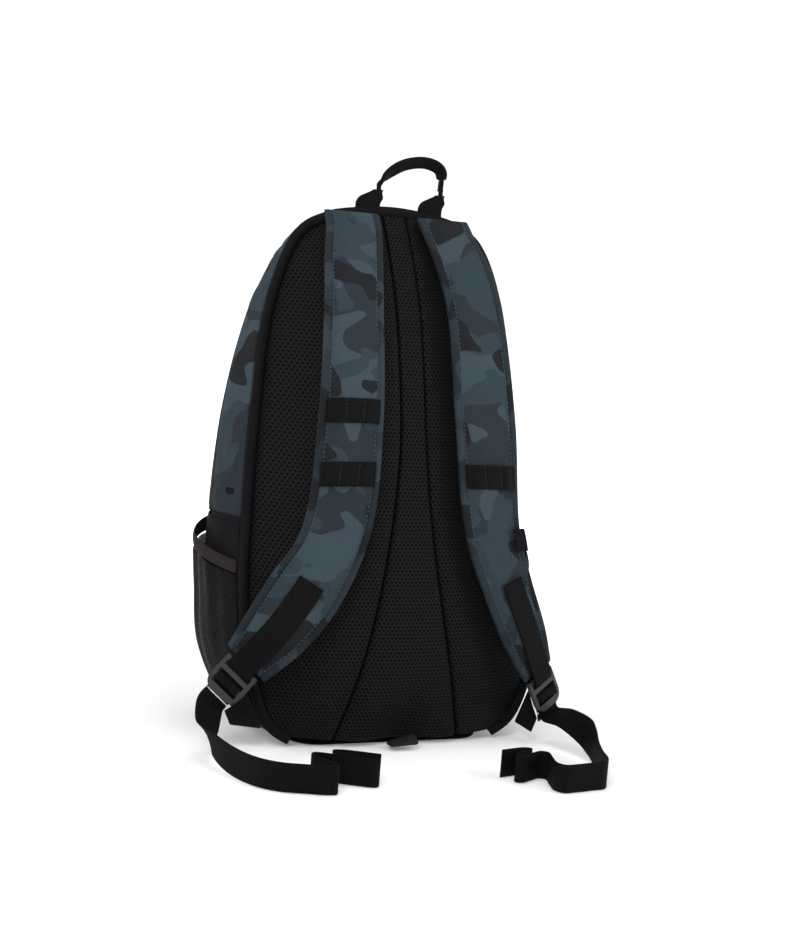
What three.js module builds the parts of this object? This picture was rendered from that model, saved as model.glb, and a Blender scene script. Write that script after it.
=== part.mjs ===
// A soft daypack with a padded mesh back, two shoulder straps, a fold-open front and mesh side pockets.
// Millimetres, +Z up. The harness side faces -Y, the front of the bag faces +Y, +X is to the right of
// someone looking at the harness. The origin is the centre of the flat base, on the floor.
import * as THREE from "three";

// ---------------------------------------------------------------- driving dimensions
const BAG_WIDTH = 314; // widest across the gussets
const BAG_DEPTH = 190; // pads to front panel
const BAG_HEIGHT = 486; // floor to the top seam

const FABRIC = 2.5; // gusset and front panel thickness
const BASE_THICKNESS = 3;
const BASE_CORNER = 26; // corner radius of the base panel
const PAD_THICKNESS = 10; // foam of the back pads
const PAD_EDGE = 4; // pads thin down to this at the piping
const BOARD_THICKNESS = 3;
const BOARD_INSET = 16; // from the piping line
const BOARD_TOP = 461.7;
const SLEEVE_THICKNESS = 4;
const SLEEVE_INSET = 30; // from the piping line
const SLEEVE_GAP = 17; // space between the back board and the inner sleeve
const SLEEVE_TOP = 300;
const PIPING_RADIUS = 2.5;
const SEAM = 0.8; // clearance between sewn neighbours
const CHANNEL = 3; // sewn channel between the pads
const STITCH_HALF = 12; // half-width of the centre pad above the flare
const STITCH_FLARE = 54; // how much wider the centre pad gets at the base
const FLARE_HEIGHT = 300; // where the flare starts

const ZIP_START = 198; // height where the main zip starts on both sides
const ZIP_PLACE = 0.6; // from the rear edge (0) to the front edge (1) of the gusset
const ZIP_TAPE = 8; // width of one tape
const ZIP_TAPE_THICKNESS = 1.4;
const SLIDER_HEIGHT = 285; // where the slider is parked
const SLIDER_LENGTH = 14;
const SLIDER_WIDTH = 9;
const SLIDER_THICKNESS = 4;
const PULL_LENGTH = 30;
const PULL_WIDTH = 7;
const PULL_THICKNESS = 1.6;

const FLAP_SEAM = 194; // height of the fold line of the front flap
const POCKET_LOW = 214; // front pocket, on the flap
const POCKET_HIGH = 372;
const POCKET_HALF_WIDTH = 88;
const POCKET_THICKNESS = 3;

const BOTTLE_LOW = 14; // side pocket, height of its lowest seam
const BOTTLE_REAR_TOP = 162; // mouth height at the rear edge
const BOTTLE_FRONT_TOP = 188; // mouth height at the front edge
const BOTTLE_BULGE = 12; // how far the pocket stands off the gusset
const BOTTLE_FABRIC = 1.2;
const BINDING_HEIGHT = 12;

const WEBBING_WIDTH = 25;
const WEBBING_THICKNESS = 1.6;
const LOOP_WIDTH = 22; // webbing of the strap loops
const LOOP_RISE = 2.2; // how far a strap loop stands off the strap
const STRAP_THICKNESS = 12;
const STRAP_SEAM_THICKNESS = 4; // strap thickness at the top seam
const STRAP_TIP_THICKNESS = 6;

const LOCK_WIDTH = 35; // across the webbing
const LOCK_LENGTH = 34; // along the webbing
const LOCK_THICKNESS = 4;
const LOCK_BAR = 4.5;
const LOCK_LIP = 7;
const LOCK_WINDOW = 28; // width of the webbing slots
const LOCK_CLEARANCE = 1.2; // between the webbing loop and the lock's top bar
const WRAP_PLACE = 0.613; // where the loop crosses the first slot, from the top bar (0) to the next (1)
const THREAD_LEAN = 0.3556; // how far the threaded webbing leans in a slot, as a share of the slot

const HANDLE_SPREAD = 32; // half the distance between the handle feet
const HANDLE_SHIFT = 6; // the handle is sewn a little to one side
const HANDLE_RISE = 49; // apex above the top seam
const HANDLE_LEAN = 26; // how far the apex leans to one side
const FOOT_LEAN = 10; // how far a foot leans over its height
const FOOT_HEIGHT = 14;
const FOOT_THICKNESS = 3.2;
const NECK_WIDTH = 4.4; // the pinched webbing where the grip leaves a foot
const NECK_GAP = 3; // the grip folds about the middle of this gap
const NECK_SPREAD = 2.6; // how much each ring of the grip widens from the neck
const GRIP_WIDTH = 13; // folded webbing
const GRIP_THICKNESS = 5;

// ---------------------------------------------------------------- small helpers
const point = (x, y, z) => new THREE.Vector3(x, y, z);
const mix = (a, b, t) => a + (b - a) * t;

// Places are given on a bag of these dimensions and scaled to the driving ones.
const DRAWN = { width: 314, depth: 190, height: 486 };
const scaledHeight = (z) => (z * BAG_HEIGHT) / DRAWN.height;
const place = (x, y, z) =>
  point((x * BAG_WIDTH) / DRAWN.width, (y * BAG_DEPTH) / DRAWN.depth, scaledHeight(z));

// A smooth curve through hand-chosen places.
const through = (places) =>
  new THREE.CatmullRomCurve3(places.map((p) => place(...p)), false, "centripetal");

// The parameter of a rising curve at height z.
function paramAtHeight(curve, z) {
  let low = 0;
  let high = 1;
  for (let i = 0; i < 30; i++) {
    const middle = (low + high) / 2;
    if (curve.getPoint(middle).z < z) low = middle;
    else high = middle;
  }
  return low;
}

// A closed solid from an ordered list of equal rings of points, with flat ends.
function loft(rings) {
  const sides = rings[0].length;
  const positions = rings.flat().flatMap((p) => [p.x, p.y, p.z]);
  const index = [];
  for (let i = 0; i + 1 < rings.length; i++) {
    for (let j = 0; j < sides; j++) {
      const a = i * sides + j;
      const b = i * sides + ((j + 1) % sides);
      index.push(a, b, b + sides, a, b + sides, a + sides);
    }
  }
  const last = (rings.length - 1) * sides;
  for (let j = 1; j + 1 < sides; j++) {
    index.push(0, j + 1, j);
    index.push(last, last + j, last + j + 1);
  }
  return facingOut(positions, index);
}

// A closed solid between two grids of points. face(u, v) gives [outer, inner] for u and v from 0 to 1.
function slab(face, columns, rows) {
  const positions = [];
  for (const side of [0, 1]) {
    for (let j = 0; j <= rows; j++) {
      for (let i = 0; i <= columns; i++) {
        const p = face(i / columns, j / rows)[side];
        positions.push(p.x, p.y, p.z);
      }
    }
  }
  const wide = columns + 1;
  const count = wide * (rows + 1);
  const index = [];
  for (let j = 0; j < rows; j++) {
    for (let i = 0; i < columns; i++) {
      const a = j * wide + i;
      index.push(a, a + 1, a + wide + 1, a, a + wide + 1, a + wide);
      const b = a + count;
      index.push(b, b + wide + 1, b + 1, b, b + wide, b + wide + 1);
    }
  }
  const rim = [];
  for (let i = 0; i < columns; i++) rim.push(i);
  for (let j = 0; j < rows; j++) rim.push(j * wide + columns);
  for (let i = columns; i > 0; i--) rim.push(rows * wide + i);
  for (let j = rows; j > 0; j--) rim.push(j * wide);
  rim.forEach((a, k) => {
    const b = rim[(k + 1) % rim.length];
    index.push(a, a + count, b + count, a, b + count, b);
  });
  return facingOut(positions, index);
}

// An indexed geometry whose faces point out, whichever way the grid ran.
function facingOut(positions, index) {
  let volume = 0;
  const at = (k) => point(positions[3 * k], positions[3 * k + 1], positions[3 * k + 2]);
  for (let i = 0; i < index.length; i += 3) {
    volume += at(index[i]).dot(at(index[i + 1]).cross(at(index[i + 2])));
  }
  if (volume < 0) index.reverse();
  const geometry = new THREE.BufferGeometry();
  geometry.setAttribute("position", new THREE.Float32BufferAttribute(positions, 3));
  geometry.setIndex(index);
  geometry.computeVertexNormals();
  return geometry;
}

// The point of a surface moved along its normal, away from the bag's core.
const CORE = place(0, 15, 230);
function offset(surface, u, v, distance) {
  const step = 1e-3;
  const u0 = Math.max(u - step, 0);
  const u1 = Math.min(u + step, 1);
  const v0 = Math.max(v - step, 0);
  const v1 = Math.min(v + step, 1);
  const across = surface(u1, v).sub(surface(u0, v));
  const along = surface(u, v1).sub(surface(u, v0));
  const normal = across.cross(along).normalize();
  const here = surface(u, v);
  if (normal.dot(here.clone().sub(CORE)) < 0) normal.negate();
  return here.addScaledVector(normal, distance);
}

// A sewn panel: a slab that follows a surface, from "out" outside it to "into" inside it.
function panel(surface, out, into, columns, rows) {
  const depth = (value, u, v) => (typeof value === "function" ? value(u, v) : value);
  return slab(
    (u, v) => [offset(surface, u, v, depth(out, u, v)), offset(surface, u, v, -depth(into, u, v))],
    columns,
    rows,
  );
}

// A flat strip along a list of [centre, width direction] steps.
function ribbon(steps, width, thickness) {
  const rings = steps.map(([centre, across], k) => {
    const before = steps[Math.max(k - 1, 0)][0];
    const after = steps[Math.min(k + 1, steps.length - 1)][0];
    const half = across.clone().normalize().multiplyScalar(width / 2);
    const normal = half.clone().cross(after.clone().sub(before)).normalize();
    normal.multiplyScalar(thickness / 2);
    return [
      centre.clone().add(half).add(normal),
      centre.clone().sub(half).add(normal),
      centre.clone().sub(half).sub(normal),
      centre.clone().add(half).sub(normal),
    ];
  });
  return loft(rings);
}

// A round cord of piping along a curve.
const piping = (curve, steps) =>
  new THREE.ExtrudeGeometry(circle(PIPING_RADIUS), {
    steps,
    bevelEnabled: false,
    extrudePath: curve,
  });

function circle(radius) {
  const sides = 8;
  const corners = [];
  for (let k = 0; k < sides; k++) {
    const angle = (2 * Math.PI * k) / sides;
    corners.push(new THREE.Vector2(radius * Math.cos(angle), radius * Math.sin(angle)));
  }
  return new THREE.Shape(corners);
}

const bag = new THREE.Group();

function add(name, geometry, color, roughness, metalness = 0) {
  const mesh = new THREE.Mesh(
    geometry,
    new THREE.MeshStandardMaterial({ color, roughness, metalness }),
  );
  mesh.name = name;
  bag.add(mesh);
  return mesh;
}

const CAMO = 0x2b3843;
const MESH = 0x0d0d0f;
const BLACK = 0x111112;
const WEBBING = 0x141311;
const PLASTIC = 0x2a2a2c;

const SIDES = [
  ["left", -1],
  ["right", 1],
];

// ---------------------------------------------------------------- edges of the body
// Right-hand edges from the base to the top corner: the rear piping line, the widest line of the
// gusset and the front panel's edge. The three share their steps, so the gusset spans them evenly.
const rearEdge = through([
  [95, -65, 0],
  [124, -64, 20],
  [144, -58, 72],
  [148, -42, 128],
  [140, -13, 190],
  [131, 8, 300],
  [119, 18, 400],
  [91, 25, 464],
  [50, 24, 485],
]);
const gussetLine = through([
  [98, 6, 0],
  [128, 9, 20],
  [150, 17, 72],
  [154, 25, 128],
  [155, 35, 190],
  [146, 48, 300],
  [124, 51, 395],
  [89, 50, 456],
  [48, 46, 476],
]);
const frontEdge = through([
  [88, 72, 0],
  [116, 74, 18],
  [134, 80, 72],
  [138, 83, 128],
  [137, 84, 190],
  [124, 82, 292],
  [102, 75, 380],
  [68, 67, 441],
  [34, 63, 461],
]);
// Middle line of the back pads and of the front panel, on the same steps.
const padCentre = through([
  [0, -78, 0],
  [0, -82, 20],
  [0, -89, 72],
  [0, -87, 128],
  [0, -79, 190],
  [0, -60, 300],
  [0, -29, 400],
  [0, 8, 466],
  [0, 22, 485],
]);
const frontCentre = through([
  [0, 86, 0],
  [0, 90, 18],
  [0, 98, 72],
  [0, 100, 128],
  [0, 100, 190],
  [0, 95, 292],
  [0, 85, 380],
  [0, 72, 441],
  [0, 65, 461],
]);
const BULGE_POWER = 2.5; // how square the pads' and front panel's section is

const AT_BASE = paramAtHeight(rearEdge, BASE_THICKNESS + SEAM);
const AT_TOP = 0.992; // the pads end just below the top seam
const PANEL_START = AT_BASE + 0.006; // side and front panels start just above the base panel

// A point of an edge moved into the panel that it bounds.
function insetEdge(edge, s, inset) {
  const tangent = edge.getTangent(s);
  const inward = point(-tangent.z, 0, tangent.x).normalize();
  return edge.getPoint(s).addScaledVector(inward, inset);
}

// Across a bulged panel: u from -1 to 1 between two mirrored edges, s up the edge.
function bulged(edge, centre, u, s, inset = 0) {
  const e = insetEdge(edge, s, inset);
  const c = centre.getPoint(s);
  return point(u * e.x, mix(c.y, e.y, Math.abs(u) ** BULGE_POWER), mix(c.z, e.z, u * u));
}

// The gusset: s up the right-hand side, v from the rear edge (0) to the front edge (1).
function gusset(s, v) {
  const rear = rearEdge.getPoint(s);
  const middle = gussetLine.getPoint(s);
  const front = frontEdge.getPoint(s);
  return rear
    .multiplyScalar((1 - v) * (1 - 2 * v))
    .addScaledVector(middle, 4 * v * (1 - v))
    .addScaledVector(front, v * (2 * v - 1));
}

// The place on the gusset that lies "reach" millimetres past v.
function past(s, v, reach) {
  const step = 0.01;
  return v + (reach * 2 * step) / gusset(s, v + step).distanceTo(gusset(s, v - step));
}

// The whole arch of the gusset: t from -1 (left side, at the zip's start) over the top to 1.
const TOP_SHARE = 0.14; // share of the arch that runs flat over the top
const TOP_CROWN = 3; // how much the top arches up between its corners
const AT_ZIP = paramAtHeight(rearEdge, scaledHeight(ZIP_START));
function archShare(t) {
  return mix(1, AT_ZIP, Math.max(0, Math.abs(t) - TOP_SHARE) / (1 - TOP_SHARE));
}
function arch(t, v) {
  const p = gusset(archShare(t), v);
  const u = Math.min(1, Math.abs(t) / TOP_SHARE);
  return point(Math.sign(t) * p.x * u, p.y, p.z + TOP_CROWN * (1 - u * u));
}

// A strip of the arch between two places, each [share of the gusset, millimetres past it].
const archStrip = (tFrom, tTo, from, to) => (u, v) => {
  const t = mix(tFrom, tTo, v);
  const s = archShare(t);
  return arch(t, mix(past(s, ...from), past(s, ...to), u));
};

const EDGE_INSET = PIPING_RADIUS + SEAM + 0.4; // gusset edges keep this far from the piping line
const FACE_INSET = EDGE_INSET + 0.6; // and the pads' and front panel's edges this far

// ---------------------------------------------------------------- base, back board, pads, piping
function basePanel() {
  const rear = rearEdge.getPoint(0);
  const front = frontEdge.getPoint(0);
  const outline = new THREE.Shape();
  const w = rear.x;
  const r = BASE_CORNER;
  outline.moveTo(-w + r, rear.y);
  outline.lineTo(w - r, rear.y);
  outline.absarc(w - r, rear.y + r, r, -Math.PI / 2, 0);
  outline.lineTo(w, front.y - r);
  outline.absarc(w - r, front.y - r, r, 0, Math.PI / 2);
  outline.lineTo(-w + r, front.y);
  outline.absarc(-w + r, front.y - r, r, Math.PI / 2, Math.PI);
  outline.lineTo(-w, rear.y + r);
  outline.absarc(-w + r, rear.y + r, r, Math.PI, 1.5 * Math.PI);
  return new THREE.ExtrudeGeometry(outline, {
    depth: BASE_THICKNESS,
    bevelEnabled: false,
    curveSegments: 6,
  });
}
add("base_panel", basePanel(), BLACK, 0.9);

const upTheBack = (v) => mix(AT_BASE, AT_TOP, v);

// Half-width of the centre pad at a height.
function stitchLine(z) {
  const below = Math.max(0, 1 - z / FLARE_HEIGHT);
  return STITCH_HALF + STITCH_FLARE * below ** 1.7;
}

const padDepth = (u) => mix(PAD_THICKNESS, PAD_EDGE, Math.abs(u) ** 4);

function backPad(from, to, columns, rows) {
  const across = (u, s) => mix(from(s), to(s), u);
  const surface = (u, v) => {
    const s = upTheBack(v);
    return bulged(rearEdge, padCentre, across(u, s), s, FACE_INSET);
  };
  return panel(surface, 0, (u, v) => padDepth(across(u, upTheBack(v))), columns, rows);
}
const STITCH_LIMIT = 0.72; // the channels stay this share of the way inside the pads' edges
const stitchShare = (s, gap) => {
  const edge = insetEdge(rearEdge, s, EDGE_INSET);
  return Math.min((stitchLine(edge.z) + gap) / edge.x, STITCH_LIMIT);
};
add(
  "back_pad_centre",
  backPad((s) => -stitchShare(s, -CHANNEL / 2), (s) => stitchShare(s, -CHANNEL / 2), 6, 18),
  MESH,
  0.95,
);
for (const [side, sign] of SIDES) {
  add(
    "back_pad_" + side,
    backPad((s) => sign * stitchShare(s, CHANNEL / 2), () => sign, 7, 18),
    MESH,
    0.95,
  );
}

// The stiff board lies behind the pads, the sleeve hangs inside the bag behind the board.
function layer(inset, out, thickness, top) {
  const high = paramAtHeight(rearEdge, top);
  const low = paramAtHeight(rearEdge, BASE_THICKNESS + inset);
  const surface = (u, v) => {
    const s = mix(low, high, v);
    return bulged(rearEdge, padCentre, mix(-1, 1, u), s, inset);
  };
  return panel(surface, -out, out + thickness, 8, 10);
}
const boardDepth = PAD_THICKNESS + SEAM;
const boardTop = scaledHeight(BOARD_TOP);
add("back_board", layer(BOARD_INSET, boardDepth, BOARD_THICKNESS, boardTop), 0x3a3a3a, 0.8);
const sleeveDepth = boardDepth + BOARD_THICKNESS + SLEEVE_GAP;
add("inner_sleeve", layer(SLEEVE_INSET, sleeveDepth, SLEEVE_THICKNESS, SLEEVE_TOP), BLACK, 0.9);

// Piping runs up one side of an edge, over the top and down the other side.
function pipingPath(edge, from) {
  const side = [];
  const steps = 16;
  for (let k = 0; k <= steps; k++) side.push(edge.getPoint(mix(from, 1, k / steps)));
  const corner = side[side.length - 1];
  const crown = point(0, corner.y, corner.z + TOP_CROWN);
  const left = side.map((p) => point(-p.x, p.y, p.z));
  return new THREE.CatmullRomCurve3([...left, crown, ...side.reverse()], false, "centripetal");
}
const PIPING_START = AT_BASE + 0.008; // the piping's ends clear the base panel
add("piping_back", piping(pipingPath(rearEdge, PIPING_START), 48), BLACK, 0.7);

// ---------------------------------------------------------------- gusset, zip and front flap
const ARCH_END = 0.997; // strips of the arch stop this share of the way down to the zip's start
const BELOW_ZIP = 0.004; // gaps between neighbours, as shares of the edge
const BESIDE_TOP = 0.004;
const INSIDE_TOP = 0.002;
for (const [side, sign] of SIDES) {
  const lower = (u, v) => {
    const s = mix(PANEL_START, AT_ZIP - BELOW_ZIP, v);
    const p = gusset(s, mix(past(s, 0, EDGE_INSET), past(s, 1, -EDGE_INSET), u));
    return point(sign * p.x, p.y, p.z);
  };
  add("side_panel_lower_" + side, panel(lower, 0, FABRIC, 8, 8), BLACK, 0.9);
  const rearSeam = [0, EDGE_INSET];
  const zipSeam = [ZIP_PLACE, -ZIP_TAPE];
  const upper = archStrip(sign * ARCH_END, sign * (TOP_SHARE + BESIDE_TOP), rearSeam, zipSeam);
  add("side_panel_upper_" + side, panel(upper, 0, FABRIC, 5, 12), CAMO, 0.85);
}
const topEnd = TOP_SHARE - INSIDE_TOP;
const topStrip = archStrip(-topEnd, topEnd, [0, EDGE_INSET], [ZIP_PLACE, -ZIP_TAPE]);
add("top_panel", panel(topStrip, 0, FABRIC, 4, 6), CAMO, 0.85);

// One zip tape: the whole arch between two lines beside the teeth.
const TAPE_SINK = 0.4; // the tapes lie this far below the cloth's face
const zipTape = (from, to) => {
  const strip = archStrip(-1, 1, [ZIP_PLACE, from], [ZIP_PLACE, to]);
  return panel(strip, -TAPE_SINK, TAPE_SINK + ZIP_TAPE_THICKNESS, 1, 36);
};
add("main_zip_rear_tape", zipTape(SEAM - ZIP_TAPE, -SEAM / 2), BLACK, 0.6);
add("main_zip_front_tape", zipTape(SEAM / 2, ZIP_TAPE - SEAM), BLACK, 0.6);
const flapStrip = archStrip(-ARCH_END, ARCH_END, [ZIP_PLACE, ZIP_TAPE], [1, -EDGE_INSET - SEAM]);
add("flap_gusset", panel(flapStrip, 0, FABRIC, 3, 36), CAMO, 0.85);
const AT_FLAP = paramAtHeight(frontEdge, scaledHeight(FLAP_SEAM));
const FRONT_PIPING_START = AT_ZIP + 0.012;
add("piping_front", piping(pipingPath(frontEdge, FRONT_PIPING_START), 40), BLACK, 0.7);

function frontPanel(from, to, rows) {
  const surface = (u, v) => {
    const s = mix(from, to, v);
    return bulged(frontEdge, frontCentre, mix(-1, 1, u), s, FACE_INSET);
  };
  return panel(surface, 0, FABRIC, 10, rows);
}
const FOLD_GAP = 0.003; // gap at the fold line, as a share of the edge
const FLAP_TOP = AT_TOP - 0.01;
add("front_panel_lower", frontPanel(PANEL_START, AT_FLAP - FOLD_GAP / 3, 8), CAMO, 0.85);
add("flap_panel", frontPanel(AT_FLAP + (2 * FOLD_GAP) / 3, FLAP_TOP, 12), CAMO, 0.85);

// ---------------------------------------------------------------- front pocket on the flap
const FRONT_WIDTH = 128; // half-width of the front panel where the pocket lies
const pocketSurface = (from, to) => (u, v) => {
  const share = POCKET_HALF_WIDTH / FRONT_WIDTH;
  const z = scaledHeight(mix(from, to, v));
  return bulged(frontEdge, frontCentre, mix(-share, share, u), paramAtHeight(frontEdge, z));
};
const POCKET_LIFT = 0.5;
const POCKET_ZIP = 10; // height of the pocket's zip tape
const pocketCloth = pocketSurface(POCKET_LOW, POCKET_HIGH - POCKET_ZIP - SEAM);
const pocketTape = pocketSurface(POCKET_HIGH - POCKET_ZIP, POCKET_HIGH);
const pocketPanel = panel(pocketCloth, POCKET_LIFT + POCKET_THICKNESS, -POCKET_LIFT, 8, 8);
const pocketZip = panel(pocketTape, POCKET_LIFT + ZIP_TAPE_THICKNESS, -POCKET_LIFT, 8, 1);
add("front_pocket_panel", pocketPanel, CAMO, 0.85);
add("front_pocket_zip", pocketZip, BLACK, 0.6);

// ---------------------------------------------------------------- zip sliders and pulls
// A slider is a low block with a bridge; "out" is its outward normal and "along" its travel.
function blockBetween(centre, along, across, out, size) {
  const [a, b, c] = [along, across, out].map((d, k) => d.clone().multiplyScalar(size[k] / 2));
  const ring = (sign) => {
    const middle = centre.clone().addScaledVector(a, sign);
    return [
      middle.clone().add(b).add(c),
      middle.clone().sub(b).add(c),
      middle.clone().sub(b).sub(c),
      middle.clone().add(b).sub(c),
    ];
  };
  return loft([ring(-1), ring(1)]);
}

function slider(name, seat, along, out, gap) {
  const across = along.clone().cross(out).normalize();
  const body = seat.clone().addScaledVector(out, gap + SLIDER_THICKNESS / 2);
  const bodySize = [SLIDER_LENGTH, SLIDER_WIDTH, SLIDER_THICKNESS];
  add(name, blockBetween(body, along, across, out, bodySize), PLASTIC, 0.4, 0.6);
  const top = seat.clone().addScaledVector(out, gap + SLIDER_THICKNESS + SEAM + PULL_THICKNESS / 2);
  const down = point(0, 0, -1).addScaledVector(out, out.z).normalize();
  const pull = top.addScaledVector(down, PULL_LENGTH / 2 - PULL_THICKNESS / 2);
  const sideways = down.clone().cross(out).normalize();
  const pullSize = [PULL_LENGTH, PULL_WIDTH, PULL_THICKNESS];
  add(name + "_pull", blockBetween(pull, down, sideways, out, pullSize), BLACK, 0.7);
}

const atSlider = paramAtHeight(rearEdge, scaledHeight(SLIDER_HEIGHT));
const seat = gusset(atSlider, ZIP_PLACE);
const NEARBY = 0.03; // the zip's directions are taken over this share to either side
const towards = (ds, dv) =>
  gusset(atSlider + ds, ZIP_PLACE + dv).sub(gusset(atSlider - ds, ZIP_PLACE - dv)).normalize();
const alongZip = towards(NEARBY, 0);
const acrossZip = towards(0, NEARBY);
const outOfZip = acrossZip.cross(alongZip).normalize();
if (outOfZip.x < 0) outOfZip.negate();
const SLIDER_GAP = 1.2;
slider("main_slider", seat, alongZip, outOfZip, SLIDER_GAP);

const POCKET_SLIDER_PLACE = 0.62; // along the pocket's zip
const pocketSeat = pocketTape(POCKET_SLIDER_PLACE, 0.5);
const pocketUp = pocketTape(POCKET_SLIDER_PLACE, 1).sub(pocketSeat).normalize();
const pocketOut = point(-1, 0, 0).cross(pocketUp).normalize();
if (pocketOut.y < 0) pocketOut.negate();
const pocketSliderGap = POCKET_THICKNESS + POCKET_LIFT + SLIDER_GAP;
slider("pocket_slider", pocketSeat, point(1, 0, 0), pocketOut, pocketSliderGap);

// ---------------------------------------------------------------- side pockets
// The pocket stands off the gusset, closed at its foot and open at its slanted mouth.
const POCKET_INSET = EDGE_INSET + 2.2; // the pocket's side seams lie inside the piping
const FULL_RISE = 1.6; // the pocket is at its full bulge 1 / FULL_RISE of the way up
function bottle(sign, lowShare, highShare, rows) {
  const low = paramAtHeight(rearEdge, scaledHeight(BOTTLE_LOW));
  const heightAt = (v) => scaledHeight(mix(BOTTLE_REAR_TOP, BOTTLE_FRONT_TOP, v));
  const surface = (u, v) => {
    const high = paramAtHeight(rearEdge, heightAt(u));
    const share = mix(lowShare, highShare, v);
    const s = mix(low, high, share);
    const p = gusset(s, mix(past(s, 0, POCKET_INSET), past(s, 1, -POCKET_INSET), u));
    const acrossSwell = Math.sin(Math.PI * u) ** 0.7;
    const upSwell = Math.sin((Math.PI / 2) * Math.min(1, FULL_RISE * share)) ** 0.8;
    return point(sign * (p.x + BOTTLE_BULGE * acrossSwell * upSwell), p.y, p.z);
  };
  return panel(surface, SEAM + BOTTLE_FABRIC, -SEAM, 8, rows);
}
const BINDING_GAP = 0.006; // share of the pocket's height between its cloth and its binding
const bindingShare = 1 - BINDING_HEIGHT / (BOTTLE_FRONT_TOP - BOTTLE_LOW);
for (const [side, sign] of SIDES) {
  add("side_pocket_" + side, bottle(sign, 0, bindingShare - BINDING_GAP, 8), MESH, 0.9);
  add("pocket_binding_" + side, bottle(sign, bindingShare, 1, 1), WEBBING, 0.85);
}

// ---------------------------------------------------------------- shoulder straps
// Middle surface of each strap: its inner and its outer edge from the top seam down. Both sides are
// given as if on the right; the two straps hang a little differently.
const STRAP_EDGES = {
  left: {
    inner: [
      [20, 12, 482],
      [21, -1, 468],
      [26, -20, 442],
      [32, -43, 400],
      [36, -71, 300],
      [47, -88, 200],
      [76, -96, 134],
      [107, -98, 96],
      [139.2, -91.2, 67.1],
    ],
    outer: [
      [74, 12, 482],
      [76, -1, 468],
      [84, -22, 442],
      [90, -45, 400],
      [98, -70, 300],
      [109, -76, 200],
      [135, -78, 160],
      [156, -77, 124],
      [167.8, -68.8, 94.9],
    ],
  },
  right: {
    inner: [
      [20, 12, 482],
      [21, -1, 468],
      [26, -20, 442],
      [32, -43, 400],
      [36, -71, 300],
      [47, -88, 200],
      [70, -95, 140],
      [93, -97, 96],
      [118.4, -95, 60.3],
    ],
    outer: [
      [72, 12, 482],
      [74, -1, 468],
      [82, -22, 442],
      [88, -45, 400],
      [98, -70, 300],
      [109, -76, 200],
      [125, -76, 156],
      [143, -78, 110],
      [151.6, -80, 76.7],
    ],
  },
};
const LOOP_PLACES = { left: [305, 250], right: [250] };
const WEBBING_SEAM = 154; // height of the seam where the strap webbing starts
const TAB = { height: 22, width: 13, thickness: 1.4, z: 192 };

// Thickness swells from the top seam and thins again at the tip.
function strapThickness(v) {
  if (v < 0.25) return mix(STRAP_SEAM_THICKNESS, STRAP_THICKNESS, Math.sin((v / 0.25) * (Math.PI / 2)));
  if (v > 0.85) return mix(STRAP_THICKNESS, STRAP_TIP_THICKNESS, (v - 0.85) / 0.15);
  return STRAP_THICKNESS;
}
const EDGE_FLOOR = 0.4; // the strap's edge keeps this share of its thickness
const roundedEdge = (u) => Math.max(EDGE_FLOOR, Math.sqrt(1 - Math.abs(2 * u - 1) ** 5));
const mirrored = (p, sign) => point(sign * p.x, p.y, p.z);

// ---------------------------------------------------------------- ladder lock
const SLOT = (LOCK_LENGTH - 3 * LOCK_BAR - LOCK_LIP) / 3;
const LOCK_GAP = 3; // between the strap's tip and the lock
const BAR_PLACE = -LOCK_LENGTH / 2 + LOCK_BAR / 2; // the top bar, along the lock
const CROSSBAR_PLACE = -LOCK_LENGTH / 2 + LOCK_BAR * 2.5 + 2 * SLOT;

function lockFrame() {
  const outline = new THREE.Shape();
  const halfWidth = LOCK_WIDTH / 2;
  const halfLength = LOCK_LENGTH / 2;
  const lipRadius = 11;
  outline.moveTo(-halfWidth, halfLength);
  outline.lineTo(halfWidth, halfLength);
  outline.lineTo(halfWidth, -halfLength + lipRadius);
  outline.absarc(halfWidth - lipRadius, -halfLength + lipRadius, lipRadius, 0, -Math.PI / 2, true);
  outline.lineTo(-halfWidth + lipRadius, -halfLength);
  outline.absarc(-halfWidth + lipRadius, -halfLength + lipRadius, lipRadius, -Math.PI / 2, -Math.PI, true);
  for (let k = 0; k < 3; k++) {
    const top = halfLength - LOCK_BAR - k * (SLOT + LOCK_BAR);
    const hole = new THREE.Path();
    hole.moveTo(-LOCK_WINDOW / 2, top);
    hole.lineTo(-LOCK_WINDOW / 2, top - SLOT);
    hole.lineTo(LOCK_WINDOW / 2, top - SLOT);
    hole.lineTo(LOCK_WINDOW / 2, top);
    hole.closePath();
    outline.holes.push(hole);
  }
  const geometry = new THREE.ExtrudeGeometry(outline, {
    depth: LOCK_THICKNESS,
    bevelEnabled: false,
    curveSegments: 4,
  });
  geometry.translate(0, 0, -LOCK_THICKNESS / 2);
  return geometry;
}

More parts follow.
